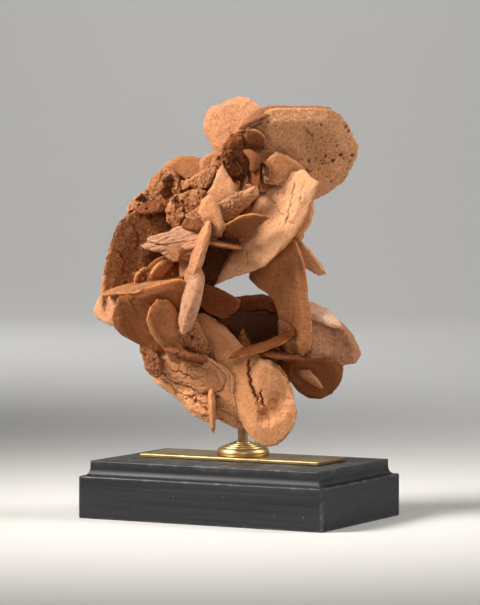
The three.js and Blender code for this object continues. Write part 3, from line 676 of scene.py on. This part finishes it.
# ---- small crystals of the rose that have no node of their own ----
def facing(yaw, pitch):
    """The direction that a blade's face looks in: yaw 0 is the front, +90 the right, pitch +90 up."""
    a, e = math.radians(yaw), math.radians(pitch)
    return Vector((math.sin(a) * math.cos(e), -math.cos(a) * math.cos(e), math.sin(e)))


DRAWN = {"front": (0, 2, 1), "plan": (0, 1, 2)}  # axes across, up and through an elevation
LENS = ((1.0, 0.0), (0.9, 0.30), (0.74, 0.42), (0.4, 0.48))  # share of the outline, share of the thickness
RIM = 0.5  # half the thickness at the very edge, in mm


def blade_mesh(name, at, yaw, pitch, thick, outline, drawn="front"):
    """A lens-shaped blade from its outline in the rose's own frame, in millimetres."""
    across, up, depth = DRAWN[drawn]
    normal, through = facing(yaw, pitch), Vector(at)
    corners = []
    for a, b in outline:
        p = Vector((0, 0, 0))
        p[across], p[up] = a, b
        rise = normal[across] * (a - through[across]) + normal[up] * (b - through[up])
        p[depth] = through[depth] - rise / normal[depth]
        corners.append(p)
    return lens_mesh(name, corners, normal, thick)


def lens_mesh(name, corners, normal, thick):
    """A lens-shaped blade through corners that lie on one plane, smoothed into a curved rim."""
    loop = []
    for i, p in enumerate(corners):
        before, after, far = corners[i - 1], corners[(i + 1) % len(corners)], corners[(i + 2) % len(corners)]
        for t in (0.0, 0.25, 0.5, 0.75):
            loop.append(0.5 * (2 * p + (after - before) * t + (2 * before - 5 * p + 4 * after - far) * t * t
                               + (3 * p - before - 3 * after + far) * t * t * t))
    centre = sum(loop, Vector()) / len(loop)
    made = bmesh.new()
    rings = []
    for side, order in ((-1, reversed(LENS)), (1, LENS)):
        for share, height in order:
            lift = height * thick or RIM
            rings.append([made.verts.new(centre + (p - centre) * share + normal * lift * side) for p in loop])
    skin(made, rings)
    made.faces.new(rings[0])
    made.faces.new(reversed(rings[-1]))
    turn = Matrix.Rotation(ROSE_TURN, 4, "Z") @ Matrix.Scale(MM, 4)
    bmesh.ops.transform(made, matrix=turn, verts=made.verts)
    bmesh.ops.recalc_face_normals(made, faces=made.faces)
    return mesh_from(made, name)


# name, centre, yaw, pitch, thickness, outline, and the elevation it is drawn in where that isn't the front
SMALL_BLADES = (
    ("crown_cap", (34, -4, 295), 5, 48, 4.5,
     ((0, 285), (10, 290), (24, 294), (45, 294.5), (62, 297), (66, 299.5), (45, 300.5), (28, 301),
      (12, 297))),
    ("crown_crescent", (7, -15, 264), -30, -10, 3.5,
     ((2, 269), (8, 269), (12.5, 264), (12.5, 257), (9, 253.5), (9.5, 260), (7, 265))),
    ("nest_back", (-56, 1, 185), 5, 0, 4,
     ((-67, 182), (-63, 188), (-56, 191.5), (-48, 192), (-45, 184), (-55, 177))),
    ("under_shelf", (-40, -17, 121), 80, 72, 3,
     ((-53, -22), (-42, -28), (-30, -25), (-24, -16), (-30, -4), (-46, -4)), "plan"),
    ("under_shelf_low", (-37, -14, 116.5), 80, 74, 2.6,
     ((-46, -18), (-36, -22), (-28, -18), (-26, -8), (-36, -4), (-44, -8)), "plan"),
    ("lip_ledge", (31, -13, 118.8), 69, 81, 3,
     ((16, -21), (28, -26), (42, -20), (47, -8), (38, 2), (20, 0)), "plan"),
    ("gap_blade", (-18, 8, 149), 0, 0, 5,
     ((-30, 148), (-26, 157), (-17, 160), (-8, 156), (-5, 148), (-10, 139), (-20, 136))),
    ("flap_chip", (-65, -3, 115), -20, 0, 5,
     ((-73, 126), (-66, 124), (-59, 117), (-57, 109), (-60, 103), (-66, 106), (-70, 116))),
    ("shoulder_cap", (-19, 15, 262), -10, 12, 6,
     ((-29, 260), (-24, 265), (-19, 267.5), (-13, 266), (-10, 257), (-18, 251), (-27, 253))),
    ("spine_knob", (-31, -10, 216), -25, 15, 7,
     ((-39, 221), (-31, 225), (-24, 220), (-23, 210), (-32, 207), (-40, 212))),
    ("spine_flake", (-33, -15, 216.5), -20, 25, 2.2,
     ((-42, 214), (-36, 219), (-28, 221), (-24, 216), (-31, 211.5))),
    ("spine_flake_high", (-31, -14, 222.5), -25, 20, 2.2,
     ((-39, 221), (-32, 226), (-25, 227), (-24, 221), (-31, 218.5))),
    ("spine_flake_top", (-24, -9, 249), -35, 10, 2.2,
     ((-31, 244), (-28, 251), (-22, 256), (-17, 256), (-21, 247), (-25, 242))),
    ("notch_ledge", (-64, 4, 228), -15, 55, 2.6,
     ((-76, 227), (-67, 230), (-57, 232.5), (-52, 229), (-60, 224.5), (-72, 223.5))),
    ("niche_sliver", (12, -12, 250), -55, 5, 2.2,
     ((10, 258), (13.5, 259.5), (15, 251), (13.5, 241), (9.5, 242.5))),
    ("niche_sliver_right", (18, -11, 247), 35, 10, 2.2,
     ((14, 252), (19, 256), (22, 250), (19, 240), (15, 240))),
    ("flaky_sheet_top", (-48, -12, 207), -10, 42, 2.2,
     ((-67, 204), (-59, 207.5), (-52, 209), (-46, 212), (-40, 213), (-30, 210), (-31, 204), (-42, 203),
      (-55, 201))),
    ("flaky_sheet_second", (-48, -14, 201.5), -15, 34, 2.0,
     ((-67, 202.5), (-58, 204), (-52, 203), (-45, 205), (-33, 205), (-31, 199), (-44, 197), (-50, 198.5),
      (-56, 198))),
    ("flaky_sheet_third", (-50, -15, 197), -5, 30, 2.0,
     ((-72, 199), (-66, 201), (-60, 199.5), (-52, 200), (-40, 199.5), (-31, 199), (-36, 193), (-48, 194),
      (-54, 196.5), (-60, 196))),
    ("flaky_sheet_low", (-45, -15.5, 192.5), 0, 22, 2.0,
     ((-60, 197), (-50, 196), (-38, 196), (-32, 194), (-37, 188.5), (-42, 190.5), (-47, 188.5), (-53, 192))),
)
# crystals that cross the plates of the back: plate, its middle, the way it faces, and how far they reach
FANS = (
    ("back_crown", (36, 28, 266), 160, 24, 24),
    ("back_shoulder", (-40, 37, 226), 205, 32, 24),
    ("back_left", (-66, 35, 180), 232, -8, 25),
    ("back_right", (26, 33, 214), 138, -16, 21),
    ("back_low_left", (-44, 35, 124), 200, -30, 23),
    ("back_low_right", (40, 33, 126), 146, -22, 22),
)
BLADES_PER_FAN = 5
FAN_CORNERS = 11
# nodes drawn anew, thinner and more pointed: centre, yaw, pitch, thickness and outline
REDRAWN = {
    "mouth_lip": ((16, -22, 126), 10, 42, 4.5,
                  ((-10, 119.5), (-1, 125), (10, 128.5), (20, 131), (32, 136), (43.5, 141), (41, 135.5),
                   (33, 128.5), (20, 123.5), (5, 119.5), (-5, 118))),
}
FLAKY = tuple(row[0] for row in SMALL_BLADES if row[0].startswith("flaky"))
ROUGH_SMALL = ("spine_knob", "flap_chip", "notch_ledge", "spine_flake_top", "under_shelf", "lip_ledge",
               "spine_flake", "spine_flake_high")
# blades with sharp ridges and points
CRISP = ("spear", "spear_fin", "spike", "right_finger", "lower_leaf", "niche_leaf", "leaf_upper",
         "fin_sliver", "hooded_leaf", "flaky_shelf", "lobe_facet", "rough_leaf", "left_shelf", "far_corner")
FOLDED = ("tongue", "tongue_fold")  # one crystal with a fold in it


def stain_and_light_of(name):
    """How pale or dark a crystal is painted, partly for its own stain and partly as painted light and shade,
    from the list that names it.
    """
    return next((STAIN_AND_LIGHT_LEVELS[level] for level, names in STAIN_AND_PAINTED_LIGHT.items() if name in names), 0.0)


def look_and_light_of(name):
    """A crystal's stain and painted light, its bloom (below zero painted shade) and the painted glow of its
    rim, by the name of their input.
    """
    return {"Tint": stain_and_light_of(name), "Bloom": BLOOM_AND_PAINTED_SHADE.get(name, 0.0), "Glow": PAINTED_RIM_GLOW.get(name, FAINT_PAINTED_RIM_GLOW)}


def gather(meshes):
    """One object outside the scene that holds copies of meshes, as something to measure nearness to."""
    made = bmesh.new()
    for mesh in meshes:
        made.from_mesh(mesh)
    return bpy.data.objects.new("neighbours", mesh_from(made, "neighbours"))


def forget(piece):
    mesh = piece.data
    bpy.data.objects.remove(piece)
    bpy.data.meshes.remove(mesh)


def blade_nodes():
    return [name for name in sorted(NODES) if name not in STAND_NODES]


def grow_blades():
    """Every crystal that the frame has, from a swollen copy of its solid."""
    looks = bpy.context.scene.sand_rose
    for index, node in enumerate(blade_nodes()):
        if node == FOLDED[1]:
            continue
        slot = SLOT_OF[node]
        shown = FOLDED if node == FOLDED[0] else (node,)
        mesh = blade_mesh(node, *REDRAWN[node]) if node in REDRAWN else merged_copy(shown, looks.swell)
        piece = new_piece(node + "_crystal", mesh)
        heights = RELIEF_OF.get(node, ROUGH_RELIEF if slot == ROUGH_SLOT else SMOOTH_RELIEF)
        heights = {**heights, "Streak Axis": STREAK_AXIS.get(node, (0.0, 0.0, 1.0)), **look_and_light_of(node)}
        others = gather(NODES[n].data for n in blade_nodes() if n not in shown)
        weathered(piece, others, slot, heights, 0.37 * index, CRUST_OF.get(node), node in CRISP)
        forget(others)
        if node in PRESSED:
            carve(piece, PRESSED[node], 0.0)
        if node in CARVED:
            carve(piece, CARVED[node])
        finished(piece, slot, *shown)


def grow_small_blades():
    """The crystals that are too small to have a node."""
    nowhere = gather(())
    for index, (name, *drawing) in enumerate(SMALL_BLADES):
        piece = new_piece(name, blade_mesh(name, *drawing))
        slot = ROUGH_SLOT if name in ROUGH_SMALL else SMOOTH_SLOT
        heights = FIBROUS_RELIEF if name in FLAKY else ROUGH_RELIEF if slot == ROUGH_SLOT else SMOOTH_RELIEF
        heights = {**heights, "Streak Axis": STREAK_AXIS["flaky_shelf"], **look_and_light_of(name)}
        weathered(piece, nowhere, slot, heights, 40 + index, CRUST_OF.get(name), True)
        finished(piece, slot)
    forget(nowhere)


def grow_fans():
    """Clusters of blades that stand on the back, each crossing its plate at an angle of its own."""
    chance = random.Random(23)
    nowhere = gather(())
    for plate, middle, yaw, pitch, reach in FANS:
        out_of = facing(yaw, pitch)
        level = out_of.cross(Vector((0, 0, 1))).normalized()
        upward = level.cross(out_of)
        first = chance.uniform(0, math.pi)
        for count in range(BLADES_PER_FAN):
            turn = first + math.pi * (count + chance.uniform(-0.25, 0.25)) / BLADES_PER_FAN
            lean = math.radians(chance.uniform(-30, 30))
            flat = level * math.cos(turn) + upward * math.sin(turn)
            normal = flat * math.cos(lean) + out_of * math.sin(lean)
            rise = (out_of - normal * normal.dot(out_of)).normalized()
            across = normal.cross(rise)
            size = reach * chance.uniform(0.65, 1.0)
            centre = Vector(middle) + level * chance.uniform(-14, 14) + upward * chance.uniform(-14, 14)
            corners = []
            for step in range(FAN_CORNERS):
                a = math.tau * step / FAN_CORNERS
                r = size * chance.uniform(0.82, 1.05)
                corners.append(centre + across * (r * math.cos(a)) + rise * (r * 0.9 * math.sin(a)))
            name = "%s_fan_%d" % (plate, count + 1)
            piece = new_piece(name, lens_mesh(name, corners, normal, chance.uniform(4.0, 6.5)))
            heights = {**(PITTED_RELIEF if count % 2 else SMOOTH_RELIEF), **look_and_light_of(name)}
            heights["Tint"] = chance.uniform(-0.6, 0.3)
            weathered(piece, nowhere, SMOOTH_SLOT, heights, chance.uniform(0, 9))
            finished(piece, SMOOTH_SLOT)
    forget(nowhere)


# ---- the stand ----
CORNER_STEPS = 10
CORNER_WEAR = 0.55  # the least wear on the block's rounded corners


def ring_block(name, width, depth, corner, rings, centre_y=0.0):
    """A closed block from rounded-rectangle rings (inset, height, wear), bottom first."""
    made = bmesh.new()
    worn = made.verts.layers.float.new("wear")
    loops = []
    for inset, z, wear in rings:
        r = max(corner - inset * 0.2, 0.0003)
        loop = []
        for quarter in range(4):
            sx, sy = ((1, 1), (-1, 1), (-1, -1), (1, -1))[quarter]
            cx, cy = sx * (width / 2 - inset - r), sy * (depth / 2 - inset - r)
            for i in range(CORNER_STEPS + 1):
                a = math.pi / 2 * (quarter + i / CORNER_STEPS)
                vertex = made.verts.new((cx + r * math.cos(a), centre_y + cy + r * math.sin(a), z))
                vertex[worn] = max(wear, CORNER_WEAR if 0 < i < CORNER_STEPS else 0.0)
                loop.append(vertex)
        loops.append(loop)
    skin(made, loops)
    made.faces.new(list(reversed(loops[0])))
    made.faces.new(loops[-1])
    for face in made.faces:
        face.smooth = True
    return mesh_from(made, name)


def keep_flats(piece, angle=22.0):
    """Shades smooth except over edges sharper than the angle."""
    piece.data.shade_smooth()
    piece.data.set_sharp_from_angle(angle=math.radians(angle))
    return piece


# the base's foot and sides, from the floor up: inset, height and wear
FOOT = ((0.0009, 0.0, 0.5), (0.00035, 0.00012, 0.8), (0.0001, 0.0004, 0.8), (0.0, 0.0009, 0.3),
        (0.0, 0.0016, 0.0))
LEDGE_EDGE, TOP_EDGE = 0.0012, 0.0009  # radii of the two rounded edges
COVE_STEPS = 10


def rounded_edge(inset, top, radius, wear):
    """Rings that round an edge over, the most worn in the middle of the bend."""
    rings = []
    for i in range(6):
        a = math.pi / 2 * i / 5
        rings.append((inset + radius - radius * math.cos(a), top - radius + radius * math.sin(a),
                      wear + 0.6 * math.sin(2 * a)))
    return rings


def build_base():
    """The block with its stepped and hollowed moulding."""
    size = bpy.context.scene.sand_rose_stand
    low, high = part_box("wooden_base")
    side, top = size.side_height, high.z
    rings = [*FOOT, (0.0, side - 0.0022, 0.0), *rounded_edge(0.0, side, LEDGE_EDGE, 0.35),
             (0.0024, side + 0.0001, 0.15), (size.ledge, side + 0.0003, 0.0)]
    cove = size.cove_top - side - 0.0003
    for i in range(1, COVE_STEPS + 1):
        a = math.pi / 2 * i / COVE_STEPS
        rings.append((size.ledge + (size.inset - size.ledge) * math.sin(a),
                      size.cove_top - cove * math.cos(a), 0.0))
    rings += [*rounded_edge(size.inset, top, TOP_EDGE, 0.3), (size.inset + 0.0022, top, 0.0)]
    mesh = ring_block("base_block", high.x - low.x, high.y - low.y, 0.0022, rings)
    mesh.materials.append(black_wood())
    piece = keep_flats(new_piece("base_block", mesh), 40.0)
    finished(piece, "black_wood", "wooden_base")


def lathe(name, profile, centre, segments):
    """A closed turned piece: profile is radius and height pairs from the axis back to the axis."""
    made = bmesh.new()
    loops = []
    for r, z in profile:
        if r < 1e-7:
            loops.append([made.verts.new((centre.x, centre.y, z))])
            continue
        angles = [math.tau * i / segments for i in range(segments)]
        loops.append([made.verts.new((centre.x + r * math.cos(a), centre.y + r * math.sin(a), z))
                      for a in angles])
    skin(made, loops)
    bmesh.ops.recalc_face_normals(made, faces=made.faces)
    return keep_flats(new_piece(name, mesh_from(made, name)), 32.0)


def rounded(r0, z0, r1, z1, bulge, count):
    """Points of a turned profile from one corner to another, bulging outwards."""
    points = []
    for i in range(count + 1):
        t = i / count
        points.append((r0 + (r1 - r0) * t + bulge * math.sin(math.pi * t), z0 + (z1 - z0) * t))
    return points


COLLAR_STEPS, STEP_IN, STEP_UP = 4, 0.0031, 0.00115
# the shape of one of the collar's steps: how far in from its corner, and how far up
STEP_EDGE = ((0.0, 0.0), (0.0001, 0.0006), (0.0004, 0.00095), (0.0008, 0.00105))


def build_plate():
    low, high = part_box("brass_plate")
    chamfer = 0.00045
    rings = [(chamfer, low.z, 0.0), (0.0, low.z + chamfer, 0.0), (0.0, high.z - chamfer, 0.0),
             (0.3 * chamfer, high.z - 0.3 * chamfer, 0.0), (chamfer, high.z, 0.0), (4 * chamfer, high.z, 0.0)]
    mesh = ring_block("brass_base_plate", high.x - low.x, high.y - low.y, 0.0009, rings, (low.y + high.y) / 2)
    mesh.materials.append(brass("brushed_brass", (25.0, 1600.0, 1600.0), 0.12))
    finished(keep_flats(new_piece("brass_base_plate", mesh)), "brass", "brass_plate")


def build_turned(name, node, profile_of, segments, material):
    """A turned piece whose profile comes from its radius, foot and top."""
    low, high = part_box(node)
    piece = lathe(name, profile_of((high.x - low.x) / 2, low.z, high.z), (low + high) / 2, segments)
    piece.data.materials.append(material)
    finished(piece, "brass", node)


def collar_profile(r, z, top):
    """A rounded drum with small steps above it."""
    profile = [(0.0, z), (r - 0.0007, z)]
    profile += rounded(r - 0.0006, z + 0.0001, r - 0.0016, z + 0.0052, 0.0010, 10)
    profile += [(r - 0.0021, z + 0.0055), (r - 0.0027, z + 0.0056)]
    for i in range(COLLAR_STEPS):
        step_r, step_z = r - 0.0035 - i * STEP_IN, z + 0.0056 + i * STEP_UP
        profile += [(step_r - inward, step_z + up) for inward, up in STEP_EDGE]
    return profile + [(0.0044, top - 0.0001), (0.004, top), (0.0, top)]


def rod_profile(r, z, top):
    c = 0.0004
    return [(0.0, z), (r - c, z), (r, z + c), (r, top - c), (r - c, top), (0.0, top)]


def build_brass():
    build_plate()
    turned = brass("turned_brass", None, 0.25)
    build_turned("turned_collar", "brass_collar", collar_profile, 128, turned)
    build_turned("support_rod", "brass_rod", rod_profile, 64, turned)


# ---- stage ----
FLOOR_FRONT, FLOOR_BACK, FLOOR_HALF = -7.0, 2.8, 6.0
BEND, BACKDROP_TOP = 0.7, 2.4
BACKDROP_LIT = 3.3  # how far behind the object the backdrop's light aims
ROSE_MIDDLE = Vector((0.0, 0.0, 0.19))
# azimuth from the rose's front, elevation, distance, size, setting and colour of each soft box
SOFT_BOXES = {
    "key_softbox": (-72, 38, 1.4, (0.6, 0.6), "key_power", (1.0, 0.97, 0.92)),
    "side_softbox": (88, 33, 1.4, (0.6, 0.6), "side_power", (1.0, 0.98, 0.96)),
    "front_softbox": (2, 27, 1.8, (0.7, 0.5), "front_power", (1.0, 0.97, 0.93)),
}
WHITE = (1.0, 1.0, 1.0)
LENS_LENGTH, SENSOR = 197.3, 36.0
CAMERA_YAW, CAMERA_PITCH, CAMERA_AWAY = 27.99, 2.71, 2.43
CAMERA_TARGET = Vector((0.00034, 0.0, 0.15757))


def look_along(piece, target, away, distance):
    """Puts a light or camera at a distance from its target, looking at it."""
    piece.location = target + away * distance
    piece.rotation_euler = (-away).to_track_quat("-Z", "Y").to_euler()


def area_light(name, target, azimuth, elevation, distance, size, power, colour=WHITE, beam=math.pi):
    """A soft box that looks at its target from azimuth degrees round from the rose's front."""
    data = bpy.data.lights.new(name, "AREA")
    data.shape, data.size, data.size_y = "RECTANGLE", size[0], size[1]
    data.energy, data.color, data.spread = power, colour, beam
    look_along(new_piece(name, data), target, facing(ROSE_YAW + azimuth, elevation), distance)


def build_backdrop():
    profile = [(FLOOR_FRONT, 0.0), (FLOOR_BACK, 0.0)]
    for i in range(1, 13):
        a = math.pi / 2 * i / 12
        profile.append((FLOOR_BACK + BEND * math.sin(a), BEND - BEND * math.cos(a)))
    profile.append((FLOOR_BACK + BEND, BACKDROP_TOP))
    made = bmesh.new()
    turn = Matrix.Rotation(ROSE_TURN, 4, "Z")
    rows = [[made.verts.new(turn @ Vector((x, y, z - 0.00005))) for x in (-FLOOR_HALF, FLOOR_HALF)]
            for y, z in profile]
    for a, b in zip(rows, rows[1:]):
        made.faces.new((a[0], a[1], b[1], b[0])).smooth = True
    backdrop = new_piece("backdrop", mesh_from(made, "backdrop"))
    material, tree, shader, _ = new_material("pale_paper")
    looks = bpy.context.scene.sand_rose_stage
    fill(tree, shader, {"Base Color": opaque(looks.floor_colour), "Roughness": 0.9})
    backdrop.data.materials.append(material)


def build_lights():
    looks = bpy.context.scene.sand_rose_stage
    for name, (*place, setting, colour) in SOFT_BOXES.items():
        area_light(name, ROSE_MIDDLE, *place, getattr(looks, setting), colour, looks.beam)
    behind = facing(ROSE_YAW, 0) * -BACKDROP_LIT
    area_light("backdrop_light", behind, 0, 50, 1.7, (2.4, 0.5), looks.backdrop_power)
    for side in (0, 90, -90):
        area_light("floor_light_%d" % (side % 360), facing(ROSE_YAW + side, 0) * 2.6, 0, 90, 2.2, (1.6, 1.6),
                   looks.floor_power, beam=math.radians(80.0))
    area_light("floor_light_180", behind * 0.42, 0, 90, 2.2, (3.4, 0.9), looks.floor_power * 1.3,
               beam=math.radians(52.0))
    scene = bpy.context.scene
    scene.world = scene.world or bpy.data.worlds.new("studio")
    scene.world.use_nodes = True
    tree = scene.world.node_tree
    fill(tree, next(n for n in tree.nodes if n.type == "BACKGROUND"),
         {"Color": opaque((0.95, 0.96, 1.0)), "Strength": looks.room_light})


def build_camera():
    data = bpy.data.cameras.new("camera")
    data.lens, data.sensor_width = LENS_LENGTH, SENSOR
    data.clip_start, data.clip_end = 0.05, 30.0
    camera = new_piece("camera", data)
    look_along(camera, CAMERA_TARGET, facing(CAMERA_YAW, CAMERA_PITCH), CAMERA_AWAY)
    bpy.context.scene.camera = camera
    bpy.context.scene.view_settings.view_transform = "Standard"


def build_stage():
    build_backdrop()
    build_lights()
    build_camera()


# ---- settings ----
def length(name, description, default):
    return bpy.props.FloatProperty(name=name, description=description, default=default, subtype="DISTANCE",
                                   unit="LENGTH", min=0.0, precision=5)


def colour(name, description, default):
    return bpy.props.FloatVectorProperty(name=name, description=description, default=default, subtype="COLOR",
                                         size=3, min=0.0, max=1.0)


def power(name, description, default):
    return bpy.props.FloatProperty(name=name, description=description, default=default, min=0.0)


def angle(name, description, degrees):
    return bpy.props.FloatProperty(name=name, description=description, default=math.radians(degrees),
                                   subtype="ANGLE", unit="ROTATION", min=0.0)


class SandRoseSettings(bpy.types.PropertyGroup):
    voxel: length("Mesh cell", "Cell size of the crystals' mesh", 0.00065)
    swell: length("Swell", "How far each crystal grows into its neighbours", 0.0003)
    smooth_colour: colour("Smooth crystal", "Colour of the smooth crystal faces", (0.60, 0.24, 0.094))
    rough_colour: colour("Rough crystal", "Colour of the rough crystal faces", (0.50, 0.185, 0.066))
    # cream: the palest crystals, partly their own colour and partly painted light
    cream_colour: colour("Cream", "Colour of the palest crystals", (0.88, 0.41, 0.185))
    # iron: partly real iron stain, partly painted shade on the crystals that lie in shade
    iron_stain_and_shade_colour: colour("Iron", "Colour of the most iron-stained crystals", (0.20, 0.046, 0.009))
    # stain: colour of the mottling, and of the painted shade in hollows, cracks and between blades
    mottle_and_shade_colour: colour("Stain", "Iron-brown stain in the hollows", (0.24, 0.07, 0.02))
    # dust, and painted light on the faces that look up
    dust_and_top_light_colour: colour("Dust", "Pale dust on upward faces", (0.80, 0.45, 0.26))
    darkened_dust_and_top_light_colour: colour("Stained dust", "Dust on the most iron-stained crystals", (0.36, 0.12, 0.036))
    bloom_colour: colour("Bloom", "Whitish bloom on a few crystals", (0.84, 0.56, 0.41))
    # hollow: painted shade on the crystals deep inside, not a stain
    painted_hollow_shade_colour: colour("Hollow", "Dark stain on the crystals deep inside", (0.045, 0.014, 0.005))
    # rim: painted glow of light through the thin rims
    painted_rim_glow_colour: colour("Rim", "Orange of the thin rims", (0.86, 0.33, 0.085))


class SandRoseStandSettings(bpy.types.PropertyGroup):
    side_height: length("Side height", "Height of the base's upright sides", 0.031)
    ledge: length("Ledge", "Inset of the flat ledge above the sides", 0.0029)
    cove_top: length("Cove top", "Height where the hollow moulding turns upright", 0.0373)
    inset: length("Top inset", "Inset of the base's top", 0.0064)
    wood_colour: colour("Wood", "Black of the stained wood", (0.0095, 0.0102, 0.012))
    grain_colour: colour("Grain", "Lighter streaks of the grain", (0.019, 0.0202, 0.0235))
    wear_colour: colour("Wear", "Worn edges and dust specks", (0.23, 0.235, 0.24))
    brass_colour: colour("Brass", "Clean brass", (0.58, 0.41, 0.19))
    tarnish_colour: colour("Tarnish", "Duller brass", (0.34, 0.22, 0.085))


class SandRoseStageSettings(bpy.types.PropertyGroup):
    floor_colour: colour("Paper", "Colour of the pale floor and backdrop", (0.78, 0.77, 0.75))
    key_power: power("Key", "Watts of the left soft box", 3.5)
    side_power: power("Side", "Watts of the right soft box", 1.3)
    front_power: power("Front", "Watts of the front soft box", 0.6)
    beam: angle("Beam", "How wide the soft boxes' beams are", 50.0)
    backdrop_power: power("Backdrop", "Watts of the light on the backdrop", 15.0)
    floor_power: power("Floor", "Watts of each light on the floor round the object", 4.6)
    room_light: power("Room", "Strength of the room's own light", 0.01)


# ---- operators ----
class SANDROSE_OT_stage(bpy.types.Operator):
    """Pale floor and backdrop, soft lights and the camera"""
    bl_idname = "sandrose.stage"
    bl_label = "Stage"

    def execute(self, context):
        build_stage()
        return {"FINISHED"}


class SANDROSE_OT_blades(bpy.types.Operator):
    """Every crystal of the frame, remeshed finely and weathered"""
    bl_idname = "sandrose.blades"
    bl_label = "Crystals"

    def execute(self, context):
        grow_blades()
        return {"FINISHED"}


class SANDROSE_OT_small_blades(bpy.types.Operator):
    """The small crystals between the large ones"""
    bl_idname = "sandrose.small_blades"
    bl_label = "Small Crystals"

    def execute(self, context):
        grow_small_blades()
        return {"FINISHED"}


class SANDROSE_OT_fans(bpy.types.Operator):
    """The clusters of crystals on the back"""
    bl_idname = "sandrose.fans"
    bl_label = "Crystals of the Back"

    def execute(self, context):
        grow_fans()
        return {"FINISHED"}


class SANDROSE_OT_base(bpy.types.Operator):
    """The moulded black wooden base"""
    bl_idname = "sandrose.base"
    bl_label = "Wooden Base"

    def execute(self, context):
        build_base()
        return {"FINISHED"}


class SANDROSE_OT_brass(bpy.types.Operator):
    """The brass plate, the turned collar and the rod"""
    bl_idname = "sandrose.brass"
    bl_label = "Brass Fittings"

    def execute(self, context):
        build_brass()
        return {"FINISHED"}


STEPS = (SANDROSE_OT_stage, SANDROSE_OT_base, SANDROSE_OT_brass, SANDROSE_OT_blades, SANDROSE_OT_small_blades,
         SANDROSE_OT_fans)
GROUPS = (
    ("sand_rose", SandRoseSettings),
    ("sand_rose_stand", SandRoseStandSettings),
    ("sand_rose_stage", SandRoseStageSettings),
)


class SANDROSE_PT_panel(bpy.types.Panel):
    """Sizes, colours and building steps of the sand rose"""
    bl_idname = "SANDROSE_PT_panel"
    bl_label = "Sand Rose"
    bl_space_type = "VIEW_3D"
    bl_region_type = "UI"
    bl_category = "Sand Rose"

    def draw(self, context):
        for name, group in GROUPS:
            box = self.layout.box()
            for key in group.__annotations__:
                box.prop(getattr(context.scene, name), key)
        for step in STEPS:
            self.layout.operator(step.bl_idname)


def register():
    for name, group in GROUPS:
        bpy.utils.register_class(group)
        setattr(bpy.types.Scene, name, bpy.props.PointerProperty(type=group))
    for cls in (*STEPS, SANDROSE_PT_panel):
        bpy.utils.register_class(cls)


def unregister():
    for cls in reversed((*STEPS, SANDROSE_PT_panel)):
        bpy.utils.unregister_class(cls)
    for name, group in reversed(GROUPS):
        delattr(bpy.types.Scene, name)
        bpy.utils.unregister_class(group)


def main():
    register()
    for step in STEPS:
        space, name = step.bl_idname.split(".")
        getattr(getattr(bpy.ops, space), name)()


if __name__ == "__main__":
    main()
